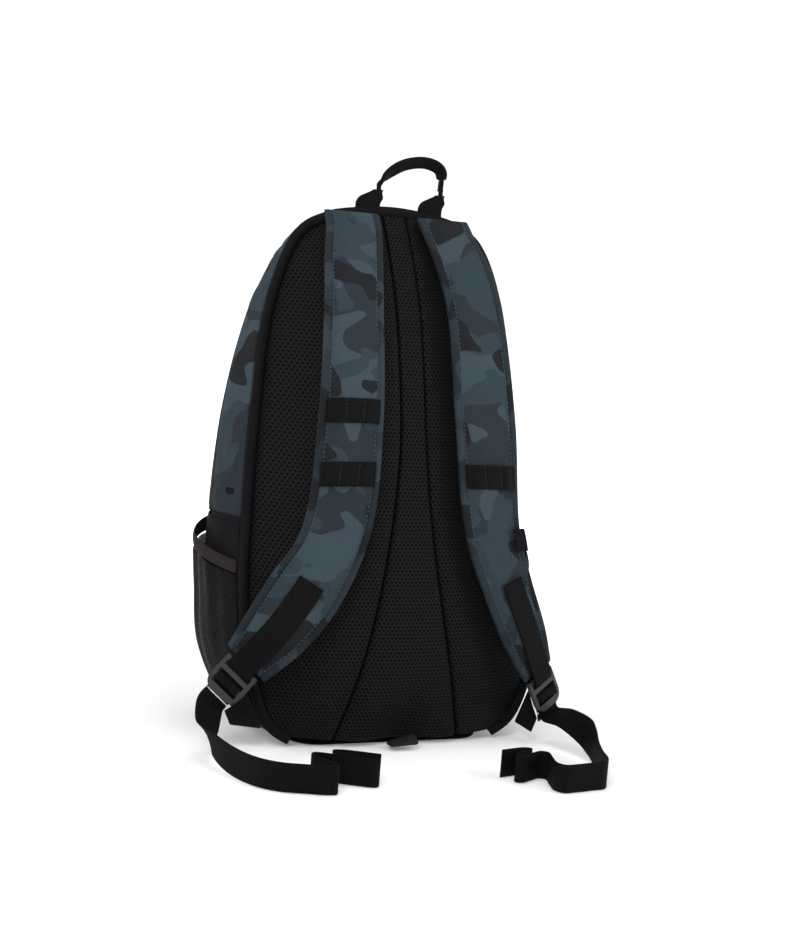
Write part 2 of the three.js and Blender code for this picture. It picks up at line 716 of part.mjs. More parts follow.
// The free webbing tails turn on edge, lie on the floor and are folded back and forth.
// A step is [x, y, z, turn]: turn 0 is flat across the lock, 1 stands on its edge.
const REST = WEBBING_WIDTH / 2 + 0.4; // centre height of webbing standing on the floor
const TAILS = {
  left: [
    [-186, -82, 30, 0.15],
    [-189, -97, 21, 0.5],
    [-187, -118, 16, 0.8],
    [-181, -148, REST, 1],
    [-171, -177, REST, 1],
    [-157, -192, REST, 1],
    [-138, -201, REST, 1],
    [-121, -208, REST, 1],
    [-114, -208, REST, 1],
    [-113, -203, REST, 1],
    [-119, -186, REST, 1],
    [-123, -172, REST, 1],
    [-119, -167, REST, 1],
    [-108, -173, REST, 1],
    [-88, -187, REST, 1],
    [-74, -195, REST, 1],
    [-70, -193, REST, 1],
    [-73, -188, REST, 1],
    [-88, -178, REST, 1],
    [-100, -168, REST, 1],
    [-100, -163, REST, 1],
    [-92, -164, REST, 1],
    [-64, -182, REST, 1],
  ],
  right: [
    [160, -104, 28, 0.15],
    [164, -130, 24, 0.45],
    [158, -158, 19, 0.75],
    [149, -182, 15, 0.95],
    [141, -204, REST, 1],
    [134, -224, REST, 1],
    [126, -234, REST, 1],
    [112, -236, REST, 1],
    [98, -238, REST, 1],
    [84, -238, REST, 1],
    [80, -230, REST, 1],
    [84, -214, REST, 1],
    [88, -199, REST, 1],
    [83, -195, REST, 1],
    [73, -199, REST, 1],
    [61, -204, REST, 1],
    [57, -201, REST, 1],
    [60, -196, REST, 1],
    [76, -190, REST, 1],
    [79, -185, REST, 1],
    [73, -182, REST, 1],
    [50, -186, REST, 1],
  ],
};
const WING = { z: 34, height: 34, tip: 14, thickness: 2.4, reachGap: 7, rootGap: 2.2 };
const WRAP_END = 9; // how far the folded end of the strap webbing reaches back past the top bar
const LOOP_EDGE = 0.02; // the loops' ends are sewn this share inside the strap's edges
const WEBBING_END = 0.985; // the strap webbing leaves the strap just before its tip
const THREAD_SHARE = 0.8; // the threaded webbing is pulled thinner by this share
const TAIL_DROP = 6; // the tail's first straight stretch below the lock
const STUB = 7; // length of the anchor webbing between the wing and the lock

// ---------------------------------------------------------------- one side's harness
function harness(side, sign) {
  const strapInner = through(STRAP_EDGES[side].inner);
  const strapOuter = through(STRAP_EDGES[side].outer);
  const strapFace = (u, v) => strapInner.getPoint(v).lerp(strapOuter.getPoint(v), u);
  const onSide = (p) => mirrored(p, sign);

  // A frame on the strap: a point on its middle surface, across, outward normal and down.
  function strapFrame(u, v) {
    const centre = strapFace(u, v);
    const across = strapFace(1, v).sub(strapFace(0, v)).normalize();
    const above = strapFace(u, Math.max(v - 0.01, 0));
    const down = strapFace(u, Math.min(v + 0.01, 1)).sub(above).normalize();
    const normal = across.clone().cross(down).normalize();
    if (normal.y > 0) normal.negate();
    return { centre, across, normal, down };
  }
  function onStrap(u, v, lift) {
    const frame = strapFrame(u, v);
    return frame.centre.addScaledVector(frame.normal, lift);
  }

  // The strap parameter at a height on its middle line.
  function strapAtHeight(z) {
    let low = 0;
    let high = 1;
    for (let i = 0; i < 30; i++) {
      const middle = (low + high) / 2;
      if (strapFace(0.5, middle).z > scaledHeight(z)) low = middle;
      else high = middle;
    }
    return low;
  }
  // Millimetres of strap per unit of the parameter, near a place.
  function strapPace(v) {
    const step = 0.01;
    return strapFace(0.5, v + step).distanceTo(strapFace(0.5, v - step)) / (2 * step);
  }

  const pad = (u, v) => {
    const half = (strapThickness(v) / 2) * roundedEdge(u);
    return [onSide(onStrap(u, v, half)), onSide(onStrap(u, v, -half))];
  };
  add("shoulder_strap_" + side, slab(pad, 6, 32), CAMO, 0.85);

  // Webbing loops sewn across the strap at their two ends.
  LOOP_PLACES[side].forEach((z, k) => {
    const middle = strapAtHeight(z);
    const halfShare = LOOP_WIDTH / 2 / strapPace(middle);
    const loop = (u, v) => {
      const rise = SEAM + LOOP_RISE * Math.sin(Math.PI * u) ** 0.5;
      const place = middle + halfShare * (2 * v - 1);
      const lift = strapThickness(place) / 2 + rise;
      const across = mix(LOOP_EDGE, 1 - LOOP_EDGE, u);
      return [
        onSide(onStrap(across, place, lift + WEBBING_THICKNESS)),
        onSide(onStrap(across, place, lift)),
      ];
    };
    add("strap_loop_" + side + "_" + (k + 1), slab(loop, 8, 2), WEBBING, 0.9);
  });

  // The ladder lock hangs below the strap's tip, in the plane of the tip.
  const tip = strapFrame(0.5, 1);
  const tipReach = strapFace(1, 1).sub(tip.centre).dot(tip.down);
  const lockDrop = Math.abs(tipReach) + LOCK_GAP + LOCK_LENGTH / 2;
  const lockCentre = tip.centre.clone().addScaledVector(tip.down, lockDrop);
  const lockAcross = tip.normal.clone().cross(tip.down).normalize();
  if (lockAcross.x < 0) lockAcross.negate();
  const inLock = (along, lift) =>
    lockCentre.clone().addScaledVector(tip.down, along).addScaledVector(tip.normal, lift);
  const lock = add("ladder_lock_" + side, lockFrame(), PLASTIC, 0.45);
  const up = onSide(tip.down).negate();
  const out = onSide(tip.normal);
  lock.matrixAutoUpdate = false;
  lock.matrix.makeBasis(up.clone().cross(out).normalize(), up, out);
  lock.matrix.setPosition(onSide(lockCentre));

  // Strap webbing: from the slanted seam down the strap's face, round the lock's top bar and back.
  const from = strapAtHeight(WEBBING_SEAM);
  const steps = [];
  const rows = 8;
  for (let k = 0; k <= rows; k++) {
    const v = mix(from, WEBBING_END, k / rows);
    const frame = strapFrame(0.5, v);
    const lift = strapThickness(v) / 2 + SEAM + WEBBING_THICKNESS / 2;
    steps.push([onStrap(0.5, v, lift), frame.down.cross(frame.normal)]);
  }
  const wrapLift =
    Math.hypot(LOCK_BAR, LOCK_THICKNESS) / 2 + LOCK_CLEARANCE + WEBBING_THICKNESS / 2;
  const wrapReach = LOCK_BAR / 2 + WRAP_PLACE * SLOT;
  for (const degrees of [90, 45, 0, -45, -90]) {
    const angle = (degrees * Math.PI) / 180;
    const p = inLock(BAR_PLACE + wrapReach * Math.cos(angle), wrapLift * Math.sin(angle));
    steps.push([p, lockAcross]);
  }
  steps.push([inLock(BAR_PLACE - WRAP_END, -wrapLift), lockAcross]);
  const strapRibbon = steps.map(([p, d]) => [onSide(p), onSide(d)]);
  add("strap_webbing_" + side, ribbon(strapRibbon, WEBBING_WIDTH, WEBBING_THICKNESS), WEBBING, 0.9);

  // The adjusting webbing threaded over the crossbar of the lock.
  const half = (LOCK_BAR + SLOT) / 2;
  const lean = THREAD_LEAN * SLOT;
  const lift = LOCK_THICKNESS / 2 + 0.5 + WEBBING_THICKNESS / 2;
  const threaded = [
    [LOCK_LENGTH / 2 + 1, -lift - 3.2],
    [CROSSBAR_PLACE + half, -lift - 3],
    [CROSSBAR_PLACE - half - 1, -lift - 1.5],
    [CROSSBAR_PLACE - half, 0],
    [CROSSBAR_PLACE - half + lean, lift],
    [CROSSBAR_PLACE + half - lean, lift],
    [CROSSBAR_PLACE + half, 0],
    [CROSSBAR_PLACE + half + lean, -lift],
    [LOCK_LENGTH / 2 + 1, -lift],
  ].map(([along, off]) => [onSide(inLock(along, off)), onSide(lockAcross)]);
  const threadThickness = WEBBING_THICKNESS * THREAD_SHARE;
  add("threaded_webbing_" + side, ribbon(threaded, WEBBING_WIDTH, threadThickness), WEBBING, 0.9);

  // A triangular wing sewn into the lower corner, and the short webbing from it up to the lock.
  const atWing = paramAtHeight(rearEdge, scaledHeight(WING.z));
  const wingRoot = gusset(atWing, 0);
  const stubTop = inLock(LOCK_LENGTH / 2 + 3, -LOCK_THICKNESS / 2 - 4.6);
  const stubEnd = stubTop.clone().addScaledVector(tip.down, STUB).addScaledVector(tip.normal, -2);
  const wingReach = WEBBING_WIDTH / 2 + WING.reachGap;
  const wingEnd = stubEnd.clone().addScaledVector(lockAcross, -wingReach);
  const wingOut = wingEnd.clone().sub(wingRoot).normalize();
  const wingBase = wingRoot.clone().addScaledVector(wingOut, PIPING_RADIUS + WING.rootGap);
  const wingUp = rearEdge.getTangent(atWing);
  const wingSide = wingOut.clone().cross(wingUp).normalize().multiplyScalar(WING.thickness / 2);
  const wingRing = (p, height) => {
    const rise = wingUp.clone().multiplyScalar(height / 2);
    return [
      p.clone().add(rise).add(wingSide),
      p.clone().sub(rise).add(wingSide),
      p.clone().sub(rise).sub(wingSide),
      p.clone().add(rise).sub(wingSide),
    ].map(onSide);
  };
  const wing = loft([wingRing(wingBase, WING.height), wingRing(wingEnd, WING.tip)]);
  add("anchor_wing_" + side, wing, BLACK, 0.9);
  const stub = [
    [onSide(stubTop), onSide(lockAcross)],
    [onSide(stubEnd), onSide(lockAcross)],
  ];
  add("anchor_webbing_" + side, ribbon(stub, WEBBING_WIDTH, WEBBING_THICKNESS), WEBBING, 0.9);

  // The free tail leaves the lock below its lip.
  const tailExit = inLock(LOCK_LENGTH / 2 + 2.5, -LOCK_THICKNESS / 2 - 1.2);
  const acrossLock = onSide(lockAcross);
  const below = tailExit.clone().addScaledVector(tip.down, TAIL_DROP);
  const onEdge = point(0, 0, 1);
  const laid = TAILS[side].map(([x, y, z, turn]) => [
    point(x, y, z),
    acrossLock.clone().lerp(onEdge, turn),
  ]);
  const tail = [[onSide(tailExit), acrossLock], [onSide(below), acrossLock], ...laid];
  add("webbing_tail_" + side, ribbon(tail, WEBBING_WIDTH, WEBBING_THICKNESS), WEBBING, 0.9);

  // A blank fabric tab folded round the outer edge of the right strap.
  if (side === "right") {
    const tabFrame = strapFrame(0.9, strapAtHeight(TAB.z));
    const rise = STRAP_THICKNESS / 2 + SEAM + TAB.thickness / 2;
    const tabCentre = tabFrame.centre.addScaledVector(tabFrame.normal, rise);
    const size = [TAB.height, TAB.width, TAB.thickness];
    const tab = blockBetween(tabCentre, tabFrame.down, tabFrame.across, tabFrame.normal, size);
    add("label_tab", tab, BLACK, 0.8);
  }
}
for (const [side, sign] of SIDES) harness(side, sign);

// ---------------------------------------------------------------- grab handle and bottom tab
const topSeam = rearEdge.getPoint(1);
const footBase = topSeam.z + TOP_CROWN + PIPING_RADIUS + SEAM;
for (const [side, sign] of SIDES) {
  const footX = HANDLE_SHIFT + sign * HANDLE_SPREAD;
  const taper = [
    [0, WEBBING_WIDTH],
    [0.45, WEBBING_WIDTH],
    [1, NECK_WIDTH * 2],
  ];
  const rings = taper.map(([share, width]) => {
    const z = footBase + FOOT_HEIGHT * share;
    const x = footX + FOOT_LEAN * share ** 1.5;
    const w = width / 2;
    const t = FOOT_THICKNESS / 2;
    return [
      point(x + w, topSeam.y + t, z),
      point(x - w, topSeam.y + t, z),
      point(x - w, topSeam.y - t, z),
      point(x + w, topSeam.y - t, z),
    ];
  });
  add("handle_foot_" + side, loft(rings), WEBBING, 0.9);
}
const gripStart = footBase + FOOT_HEIGHT + NECK_GAP;
const apex = topSeam.z + HANDLE_RISE;
const neckLeft = HANDLE_SHIFT + FOOT_LEAN - HANDLE_SPREAD;
const neckRight = HANDLE_SHIFT + FOOT_LEAN + HANDLE_SPREAD;
const gripPath = new THREE.CatmullRomCurve3([
  point(neckLeft + 1, topSeam.y, gripStart),
  point(neckLeft + 7, topSeam.y, mix(gripStart, apex, 0.38)),
  point(neckLeft + 25, topSeam.y, mix(gripStart, apex, 0.86)),
  point(HANDLE_SHIFT + HANDLE_LEAN, topSeam.y, apex),
  point(neckRight - 2, topSeam.y, mix(gripStart, apex, 0.76)),
  point(neckRight, topSeam.y, gripStart),
]);
function grip() {
  const rings = [];
  const steps = 18;
  for (let k = 0; k <= steps; k++) {
    const p = gripPath.getPoint(k / steps);
    const level = k === 0 || k === steps;
    const tangent = level ? point(0, 0, k === 0 ? 1 : -1) : gripPath.getTangent(k / steps);
    const across = point(0, 1, 0);
    const radial = tangent.cross(across).normalize();
    const fromNeck = Math.min(k, steps - k);
    const w = Math.min(NECK_WIDTH + fromNeck * NECK_SPREAD, GRIP_WIDTH) / 2;
    const t = GRIP_THICKNESS / 2;
    rings.push(
      [
        [w, t],
        [-w, t],
        [-w, -t],
        [w, -t],
      ].map(([a, b]) => p.clone().addScaledVector(across, a).addScaledVector(radial, b)),
    );
  }
  return loft(rings);
}
add("grab_handle", grip(), WEBBING, 0.9);

const BOTTOM_TAB = { width: 26, length: 16, thickness: 3, lift: 2, gap: 1 };
const tabRear = padCentre.getPoint(AT_BASE).y - SEAM;
const bottomTab = new THREE.BoxGeometry(BOTTOM_TAB.width, BOTTOM_TAB.length, BOTTOM_TAB.thickness);
const tabPlace = point(
  0,
  tabRear - BOTTOM_TAB.length / 2 - BOTTOM_TAB.gap,
  BOTTOM_TAB.thickness / 2 + BOTTOM_TAB.lift,
);
bottomTab.translate(tabPlace.x, tabPlace.y, tabPlace.z);
add("bottom_tab", bottomTab, BLACK, 0.9);

export default bag;
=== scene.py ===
"""The look of the daypack: camouflage straps and panels, air-mesh back, webbing, buckles and its studio.

Metres, in the row frame: the harness faces -Y, the base stands on z = 0.
"""

import math

import bpy
import numpy as np
from mathutils import Matrix, Vector


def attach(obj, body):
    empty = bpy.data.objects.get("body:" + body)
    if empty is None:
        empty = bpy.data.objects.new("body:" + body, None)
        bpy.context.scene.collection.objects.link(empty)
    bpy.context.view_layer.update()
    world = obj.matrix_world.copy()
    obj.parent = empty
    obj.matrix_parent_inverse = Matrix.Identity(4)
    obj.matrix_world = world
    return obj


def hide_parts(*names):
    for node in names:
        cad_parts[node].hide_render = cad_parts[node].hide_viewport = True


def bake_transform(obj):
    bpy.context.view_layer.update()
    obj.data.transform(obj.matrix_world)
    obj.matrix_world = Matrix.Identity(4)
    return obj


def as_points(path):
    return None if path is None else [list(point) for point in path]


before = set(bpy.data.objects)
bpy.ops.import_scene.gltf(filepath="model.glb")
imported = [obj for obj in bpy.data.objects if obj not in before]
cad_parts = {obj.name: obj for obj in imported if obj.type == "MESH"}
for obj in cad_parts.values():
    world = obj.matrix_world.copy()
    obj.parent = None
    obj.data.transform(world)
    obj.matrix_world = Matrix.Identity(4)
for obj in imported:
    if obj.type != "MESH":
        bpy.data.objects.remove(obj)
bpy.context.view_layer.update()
MM = 0.001
scene = bpy.context.scene
scene.view_settings.view_transform = "Standard"


# ---- camera
def make_camera():
    yaw, pitch, roll = (math.radians(a) for a in (-25, 6.5, 4.5))
    target, distance = Vector((0.013, -0.010, 0.242)), 1.65
    back = Vector((math.sin(yaw) * math.cos(pitch), -math.cos(yaw) * math.cos(pitch), math.sin(pitch)))
    right = (-back).cross(Vector((0, 0, 1))).normalized()
    up = right.cross(-back).normalized()
    tilted_right = math.cos(roll) * right + math.sin(roll) * up
    tilted_up = -math.sin(roll) * right + math.cos(roll) * up
    camera = bpy.data.objects.new("camera", bpy.data.cameras.new("camera"))
    scene.collection.objects.link(camera)
    axes = Matrix((tilted_right, tilted_up, back)).transposed().to_4x4()
    camera.matrix_world = Matrix.Translation(target + distance * back) @ axes
    camera.data.lens = 66.6
    camera.data.clip_end = 50
    scene.camera = camera


make_camera()


# ---- curves and grids
def unit(a):
    return a / np.maximum(np.linalg.norm(a, axis=-1, keepdims=True), 1e-12)


def through(places, steps=800):
    """A smooth curve through places given in millimetres, as a table of points."""
    p = np.array(places, float)
    p[:, :3] *= MM
    p = np.vstack([2 * p[0] - p[1], p, 2 * p[-1] - p[-2]])
    f = np.linspace(0, 1, steps + 1) * (len(p) - 3)
    i = np.minimum(f.astype(int), len(p) - 4)
    w = (f - i)[:, None]
    x0, x1, x2, x3 = p[i], p[i + 1], p[i + 2], p[i + 3]

    def root_length(a, b):
        return np.maximum(np.sqrt(np.linalg.norm((a - b)[:, :3], axis=1)), 1e-6)[:, None]

    d0, d1, d2 = root_length(x0, x1), root_length(x1, x2), root_length(x2, x3)
    t1 = ((x1 - x0) / d0 - (x2 - x0) / (d0 + d1) + (x2 - x1) / d1) * d1
    t2 = ((x2 - x1) / d1 - (x3 - x1) / (d1 + d2) + (x3 - x2) / d2) * d1
    c2 = -3 * x1 + 3 * x2 - 2 * t1 - t2
    c3 = 2 * x1 - 2 * x2 + t1 + t2
    return x1 + t1 * w + c2 * w**2 + c3 * w**3


def at(table, t):
    f = np.clip(np.asarray(t, float), 0, 1) * (len(table) - 1)
    i = np.minimum(f.astype(int), len(table) - 2)
    w = (f - i)[..., None]
    return table[i] * (1 - w) + table[i + 1] * w


def run_length(path):
    """Metres along a path from its start to each of its points."""
    return np.concatenate([[0], np.cumsum(np.linalg.norm(np.diff(path, axis=0), axis=1))])


def resample(places, known, values):
    """The rows of values at places, where known says the place of each row."""
    return np.stack([np.interp(places, known, column) for column in np.asarray(values).T], axis=-1)


def share_at_height(table, z):
    shares = np.linspace(0, 1, len(table))
    heights = table[:, 2]
    if heights[0] > heights[-1]:
        return np.interp(z, heights[::-1], shares[::-1])
    return np.interp(z, heights, shares)


def lattice(columns, rows):
    return np.meshgrid(np.linspace(0, 1, columns + 1), np.linspace(0, 1, rows + 1))


def mix(a, b, t):
    return a + (b - a) * t


def smooth(t):
    t = np.clip(t, 0, 1)
    return t * t * (3 - 2 * t)


CORE = np.array([0, 0.015, 0.23])


def normals(surface, u, v, core=CORE):
    step = 4e-3
    across = surface(np.minimum(u + step, 1), v) - surface(np.maximum(u - step, 0), v)
    along = surface(u, np.minimum(v + step, 1)) - surface(u, np.maximum(v - step, 0))
    n = unit(np.cross(across, along))
    away = np.sum(n * (surface(u, v) - core), axis=-1, keepdims=True)
    return np.where(away < 0, -n, n)


def laid(surface, columns, rows):
    """The shares of a grid, its points on a surface and its normals."""
    u, v = lattice(columns, rows)
    return u, v, surface(u, v), normals(surface, u, v)


def arc_uv(points):
    """Metres across (from the middle column) and along each point of a grid."""
    across = np.zeros(points.shape[:2])
    across[:, 1:] = np.cumsum(np.linalg.norm(np.diff(points, axis=1), axis=-1), axis=1)
    across -= across[:, [points.shape[1] // 2]]
    along = np.zeros(points.shape[:2])
    along[1:] = np.cumsum(np.linalg.norm(np.diff(points, axis=0), axis=-1), axis=0)
    along = np.repeat(along.mean(axis=1, keepdims=True), points.shape[1], axis=1)
    return np.stack([across, along], axis=-1)


# ---- meshes
def grid_quads(rows, columns):
    a = (np.arange(rows - 1)[:, None] * columns + np.arange(columns - 1)).ravel()
    return np.stack([a, a + 1, a + columns + 1, a + columns], axis=1)


def mesh_object(name, verts, faces, material, uv=None):
    data = bpy.data.meshes.new(name)
    data.from_pydata([tuple(p) for p in verts], [], [tuple(int(i) for i in f) for f in faces])
    if uv is not None:
        layer = data.uv_layers.new(name="UVMap")
        corner = np.zeros(len(data.loops), int)
        data.loops.foreach_get("vertex_index", corner)
        layer.data.foreach_set("uv", np.asarray(uv, float)[corner].ravel())
    data.polygons.foreach_set("use_smooth", [True] * len(data.polygons))
    data.materials.append(material)
    obj = bpy.data.objects.new(name, data)
    scene.collection.objects.link(obj)
    return obj


def signed_volume(verts, faces):
    p = np.asarray(verts)
    total = 0.0
    for f in faces:
        for k in range(1, len(f) - 1):
            total += np.dot(p[f[0]], np.cross(p[f[k]], p[f[k + 1]]))
    return total


def outward(verts, faces):
    return [f[::-1] for f in faces] if signed_volume(verts, faces) < 0 else faces


def slab(name, outer, inner, uv, material):
    """A closed piece between two equal grids of points."""
    rows, columns = outer.shape[:2]
    count = rows * columns
    verts = np.vstack([outer.reshape(-1, 3), inner.reshape(-1, 3)])
    top = grid_quads(rows, columns)
    bottom = top[:, ::-1] + count
    rim = list(range(columns - 1))
    rim += [j * columns + columns - 1 for j in range(rows - 1)]
    rim += [(rows - 1) * columns + i for i in range(columns - 1, 0, -1)]
    rim += [j * columns for j in range(rows - 1, 0, -1)]
    side = [(p, p + count, q + count, q) for p, q in zip(rim, rim[1:] + rim[:1])]
    faces = outward(verts, [tuple(f) for f in top] + [tuple(f) for f in bottom] + side)
    flat = uv.reshape(-1, 2)
    return mesh_object(name, verts, faces, material, np.vstack([flat, flat]))


def tube_rings(name, rings, uv, material):
    """A closed piece through equal closed rings of points, capped at both ends."""
    rings = np.asarray(rings)
    count, sides = rings.shape[:2]
    verts = rings.reshape(-1, 3)
    faces = []
    for i in range(count - 1):
        for j in range(sides):
            a, b = i * sides + j, i * sides + (j + 1) % sides
            faces.append((a, b, b + sides, a + sides))
    faces.append(tuple(range(sides))[::-1])
    faces.append(tuple(range((count - 1) * sides, count * sides)))
    return mesh_object(name, verts, outward(verts, faces), material, np.asarray(uv).reshape(-1, 2))


def refine(obj):
    """One step of smooth subdivision, applied to the mesh."""
    modifier = obj.modifiers.new("smooth", "SUBSURF")
    modifier.levels = modifier.render_levels = 1
    bpy.context.view_layer.update()
    depsgraph = bpy.context.evaluated_depsgraph_get()
    made = bpy.data.meshes.new_from_object(obj.evaluated_get(depsgraph))
    obj.modifiers.clear()
    obj.data = made


CLOTH_FRAMES = 20


def relax(points, free, pressure, grow, cap, out=None):
    """Cloth over a grid of points: the free ones fill out and pucker, the others are sewn down.

    grow is the cloth's extra size, and no point moves further than cap.
    """
    quads = grid_quads(*points.shape[:2])
    flat = points.reshape(-1, 3)
    first = quads[len(quads) // 2]
    facing = np.cross(flat[first[1]] - flat[first[0]], flat[first[3]] - flat[first[0]])
    away = out if out is not None else flat[first[0]] - CORE
    if np.dot(facing, away) < 0:
        quads = quads[:, ::-1]
    obj = mesh_object("cloth_work", flat, quads, bpy.data.materials[0])
    group = obj.vertex_groups.new(name="sewn")
    group.add([int(i) for i in np.flatnonzero(~free.ravel())], 1.0, "REPLACE")
    cloth = obj.modifiers.new("cloth", "CLOTH")
    settings = cloth.settings
    settings.quality = 5
    settings.mass = 0.2
    settings.tension_stiffness = settings.compression_stiffness = 20
    settings.bending_stiffness = 0.4
    settings.air_damping = 3
    settings.vertex_group_mass = "sewn"
    settings.use_pressure = True
    settings.uniform_pressure_force = pressure
    settings.shrink_min = settings.shrink_max = -grow
    settings.effector_weights.gravity = 0
    cloth.point_cache.frame_start, cloth.point_cache.frame_end = 1, CLOTH_FRAMES
    for number in range(1, CLOTH_FRAMES + 1):
        scene.frame_set(number)
    depsgraph = bpy.context.evaluated_depsgraph_get()
    made = obj.evaluated_get(depsgraph).to_mesh()
    moved = np.zeros(len(flat) * 3)
    made.vertices.foreach_get("co", moved)
    obj.evaluated_get(depsgraph).to_mesh_clear()
    bpy.data.objects.remove(obj)
    scene.frame_set(1)
    step = moved.reshape(-1, 3) - flat
    size = np.linalg.norm(step, axis=1, keepdims=True)
    step *= cap * np.tanh(size / cap) / np.maximum(size, 1e-9)
    return (flat + step).reshape(points.shape)


# ---- materials
ROOT_THREE = 1.732


class Nodes:
    """Small helper for building a procedural material."""

    def __init__(self, name, roughness, specular=0.35):
        self.material = bpy.data.materials.new(name)
        self.material.use_nodes = True
        self.tree = self.material.node_tree
        self.shader = self.tree.nodes["Principled BSDF"]
        self.shader.inputs["Roughness"].default_value = roughness
        self.shader.inputs["Specular IOR Level"].default_value = specular

    def link(self, source, target):
        self.tree.links.new(source, target)

    def fill(self, socket, value):
        """Puts a number, a vector, a colour or another node's output into a socket."""
        if isinstance(value, (int, float, tuple)):
            socket.default_value = (*value, 1) if socket.type == "RGBA" else value
        elif value is not None:
            self.link(value, socket)

    def node(self, kind, inputs=None, **values):
        made = self.tree.nodes.new(kind)
        for key, value in values.items():
            setattr(made, key, value)
        for key, value in (inputs or {}).items():
            self.fill(made.inputs[key], value)
        return made

    def math(self, operation, a, b=None, c=None):
        return self.node("ShaderNodeMath", {0: a, 1: b, 2: c}, operation=operation).outputs[0]

    def vector(self, operation, a, b=None):
        made = self.node("ShaderNodeVectorMath", {0: a, 1: b}, operation=operation)
        return made.outputs["Value" if operation == "LENGTH" else 0]

    def ramp(self, value, low, high):
        values = {"Value": value, "From Min": low, "From Max": high}
        return self.node("ShaderNodeMapRange", values, interpolation_type="SMOOTHSTEP").outputs[0]

    def blend(self, factor, a, b):
        return self.node("ShaderNodeMix", {"Factor": factor, 6: a, 7: b}, data_type="RGBA").outputs[2]

    def noise(self, vector, scale, detail=0.0, distortion=0.0, output=0):
        values = {"Vector": vector, "Scale": scale, "Detail": detail, "Distortion": distortion}
        return self.node("ShaderNodeTexNoise", values).outputs[output]

    def place(self):
        return self.node("ShaderNodeTexCoord").outputs["Object"]

    def uv(self):
        return self.node("ShaderNodeUVMap").outputs[0]

    def color(self, value):
        self.fill(self.shader.inputs["Base Color"], value)

    def bump(self, height, distance, strength=1.0):
        values = {"Strength": strength, "Distance": distance, "Height": height}
        self.link(self.node("ShaderNodeBump", values).outputs[0], self.shader.inputs["Normal"])

    def rows(self, vector, axis, pitch, turn=0.0):
        """A wave from 0 to 1 across parallel rows."""
        turned = self.node("ShaderNodeMapping", {"Vector": vector, "Rotation": (0, 0, turn)})
        parts = self.node("ShaderNodeSeparateXYZ", {0: turned.outputs[0]})
        wave = self.math("SINE", self.math("MULTIPLY", parts.outputs[axis], 2 * math.pi / pitch))
        return self.math("MULTIPLY_ADD", wave, 0.5, 0.5)

    def holes(self, vector, pitch):
        """Distance, in pitches, to the nearest point of a triangular lattice."""
        squeeze = (1 / pitch, 1 / (pitch * ROOT_THREE), 1)
        scaled = self.vector("MULTIPLY", vector, squeeze)
        found = []
        for shift in ((0.0, 0.0, 0.0), (0.5, 0.5, 0.0)):
            cell = self.vector("FRACTION", self.vector("ADD", scaled, shift))
            centred = self.vector("SUBTRACT", cell, (0.5, 0.5, 0.0))
            flat = self.vector("MULTIPLY", centred, (1.0, ROOT_THREE, 0.0))
            found.append(self.vector("LENGTH", flat))
        return self.math("MINIMUM", *found)


TEAL = (0.038, 0.056, 0.070)
SLATE = (0.026, 0.040, 0.050)
NAVY = (0.018, 0.025, 0.031)
CHARCOAL = (0.0105, 0.0115, 0.013)


def shaded(color, factor):
    return tuple(c * factor for c in color)


def camouflage(name, shift=(0.0, 0.0, 0.0), painted_shade=1.0):
    """Large rounded blobs in four tones over a fine twill, with painted shade over the whole pattern when its
    shade factor is below 1.
    """
    m = Nodes(name, 0.82, 0.08)
    coords = m.vector("ADD", m.place(), shift)
    warp = m.noise(coords, 9, output="Color")
    bent = m.vector("ADD", coords, m.vector("MULTIPLY", warp, (0.05, 0.05, 0.05)))
    stretched = m.vector("MULTIPLY", bent, (1.0, 0.9, 1.25))

    def blobs(offset, scale, threshold):
        field = m.noise(m.vector("ADD", stretched, offset), scale, 1.4, 0.25)
        return m.ramp(field, threshold - 0.004, threshold + 0.004)

    tone = m.blend(blobs((3.1, 0.2, 1.7), 15, 0.50), SLATE, NAVY)
    tone = m.blend(blobs((7.7, 4.1, 2.9), 18, 0.545), tone, TEAL)
    tone = m.blend(blobs((1.3, 8.2, 5.5), 21, 0.60), tone, SLATE)
    tone = m.blend(blobs((5.9, 2.6, 9.4), 15, 0.58), tone, CHARCOAL)
    speck = m.noise(m.place(), 900, 2)
    dark = m.blend(m.math("MULTIPLY", speck, 0.32), tone, (0.012, 0.013, 0.016))
    # Painted shade: a dark veil, as deep as the shade factor is below 1, laid over the whole pattern.
    if painted_shade != 1.0:
        painted_shade_veil = m.math("MULTIPLY", m.math("ADD", speck, 3.0), (1 - painted_shade) / 3.5)
        dark = m.blend(painted_shade_veil, dark, (0.008, 0.009, 0.011))
    m.color(dark)
    twill = m.rows(m.place(), 0, 0.0011, 0.8)
    m.bump(m.math("ADD", twill, m.math("MULTIPLY", speck, 0.8)), 0.00012, 0.6)
    return m.material


def woven(name, color, roughness=0.85, pitch=0.0009):
    m = Nodes(name, roughness, 0.08)
    speck = m.noise(m.place(), 1100, 2)
    m.color(m.blend(m.math("MULTIPLY", speck, 0.7), color, shaded(color, 1.7)))
    weave = m.math("MULTIPLY", m.rows(m.place(), 0, pitch), m.rows(m.place(), 2, pitch))
    m.bump(m.math("ADD", weave, speck), 0.00012, 0.6)
    return m.material


def webbing_material(name, color, rib=0.0017):
    """Ribs run across the tape, crossed by finer columns along it."""
    m = Nodes(name, 0.7, 0.06)
    ribs = m.rows(m.uv(), 1, rib)
    columns = m.rows(m.uv(), 0, 0.0024)
    speck = m.noise(m.place(), 1400, 2)
    woven_ribs = m.math("MULTIPLY", ribs, m.math("MULTIPLY_ADD", columns, 0.5, 0.5))
    height = m.math("ADD", woven_ribs, m.math("MULTIPLY", speck, 0.35))
    # The colour follows the height of the weave: painted shade in the grooves between the ribs and painted
    # light on their tops, with random speckle mixed in.
    m.color(m.blend(m.ramp(height, 0.25, 1.15), shaded(color, 0.45), shaded(color, 1.8)))
    m.bump(height, 0.0005, 0.8)
    return m.material


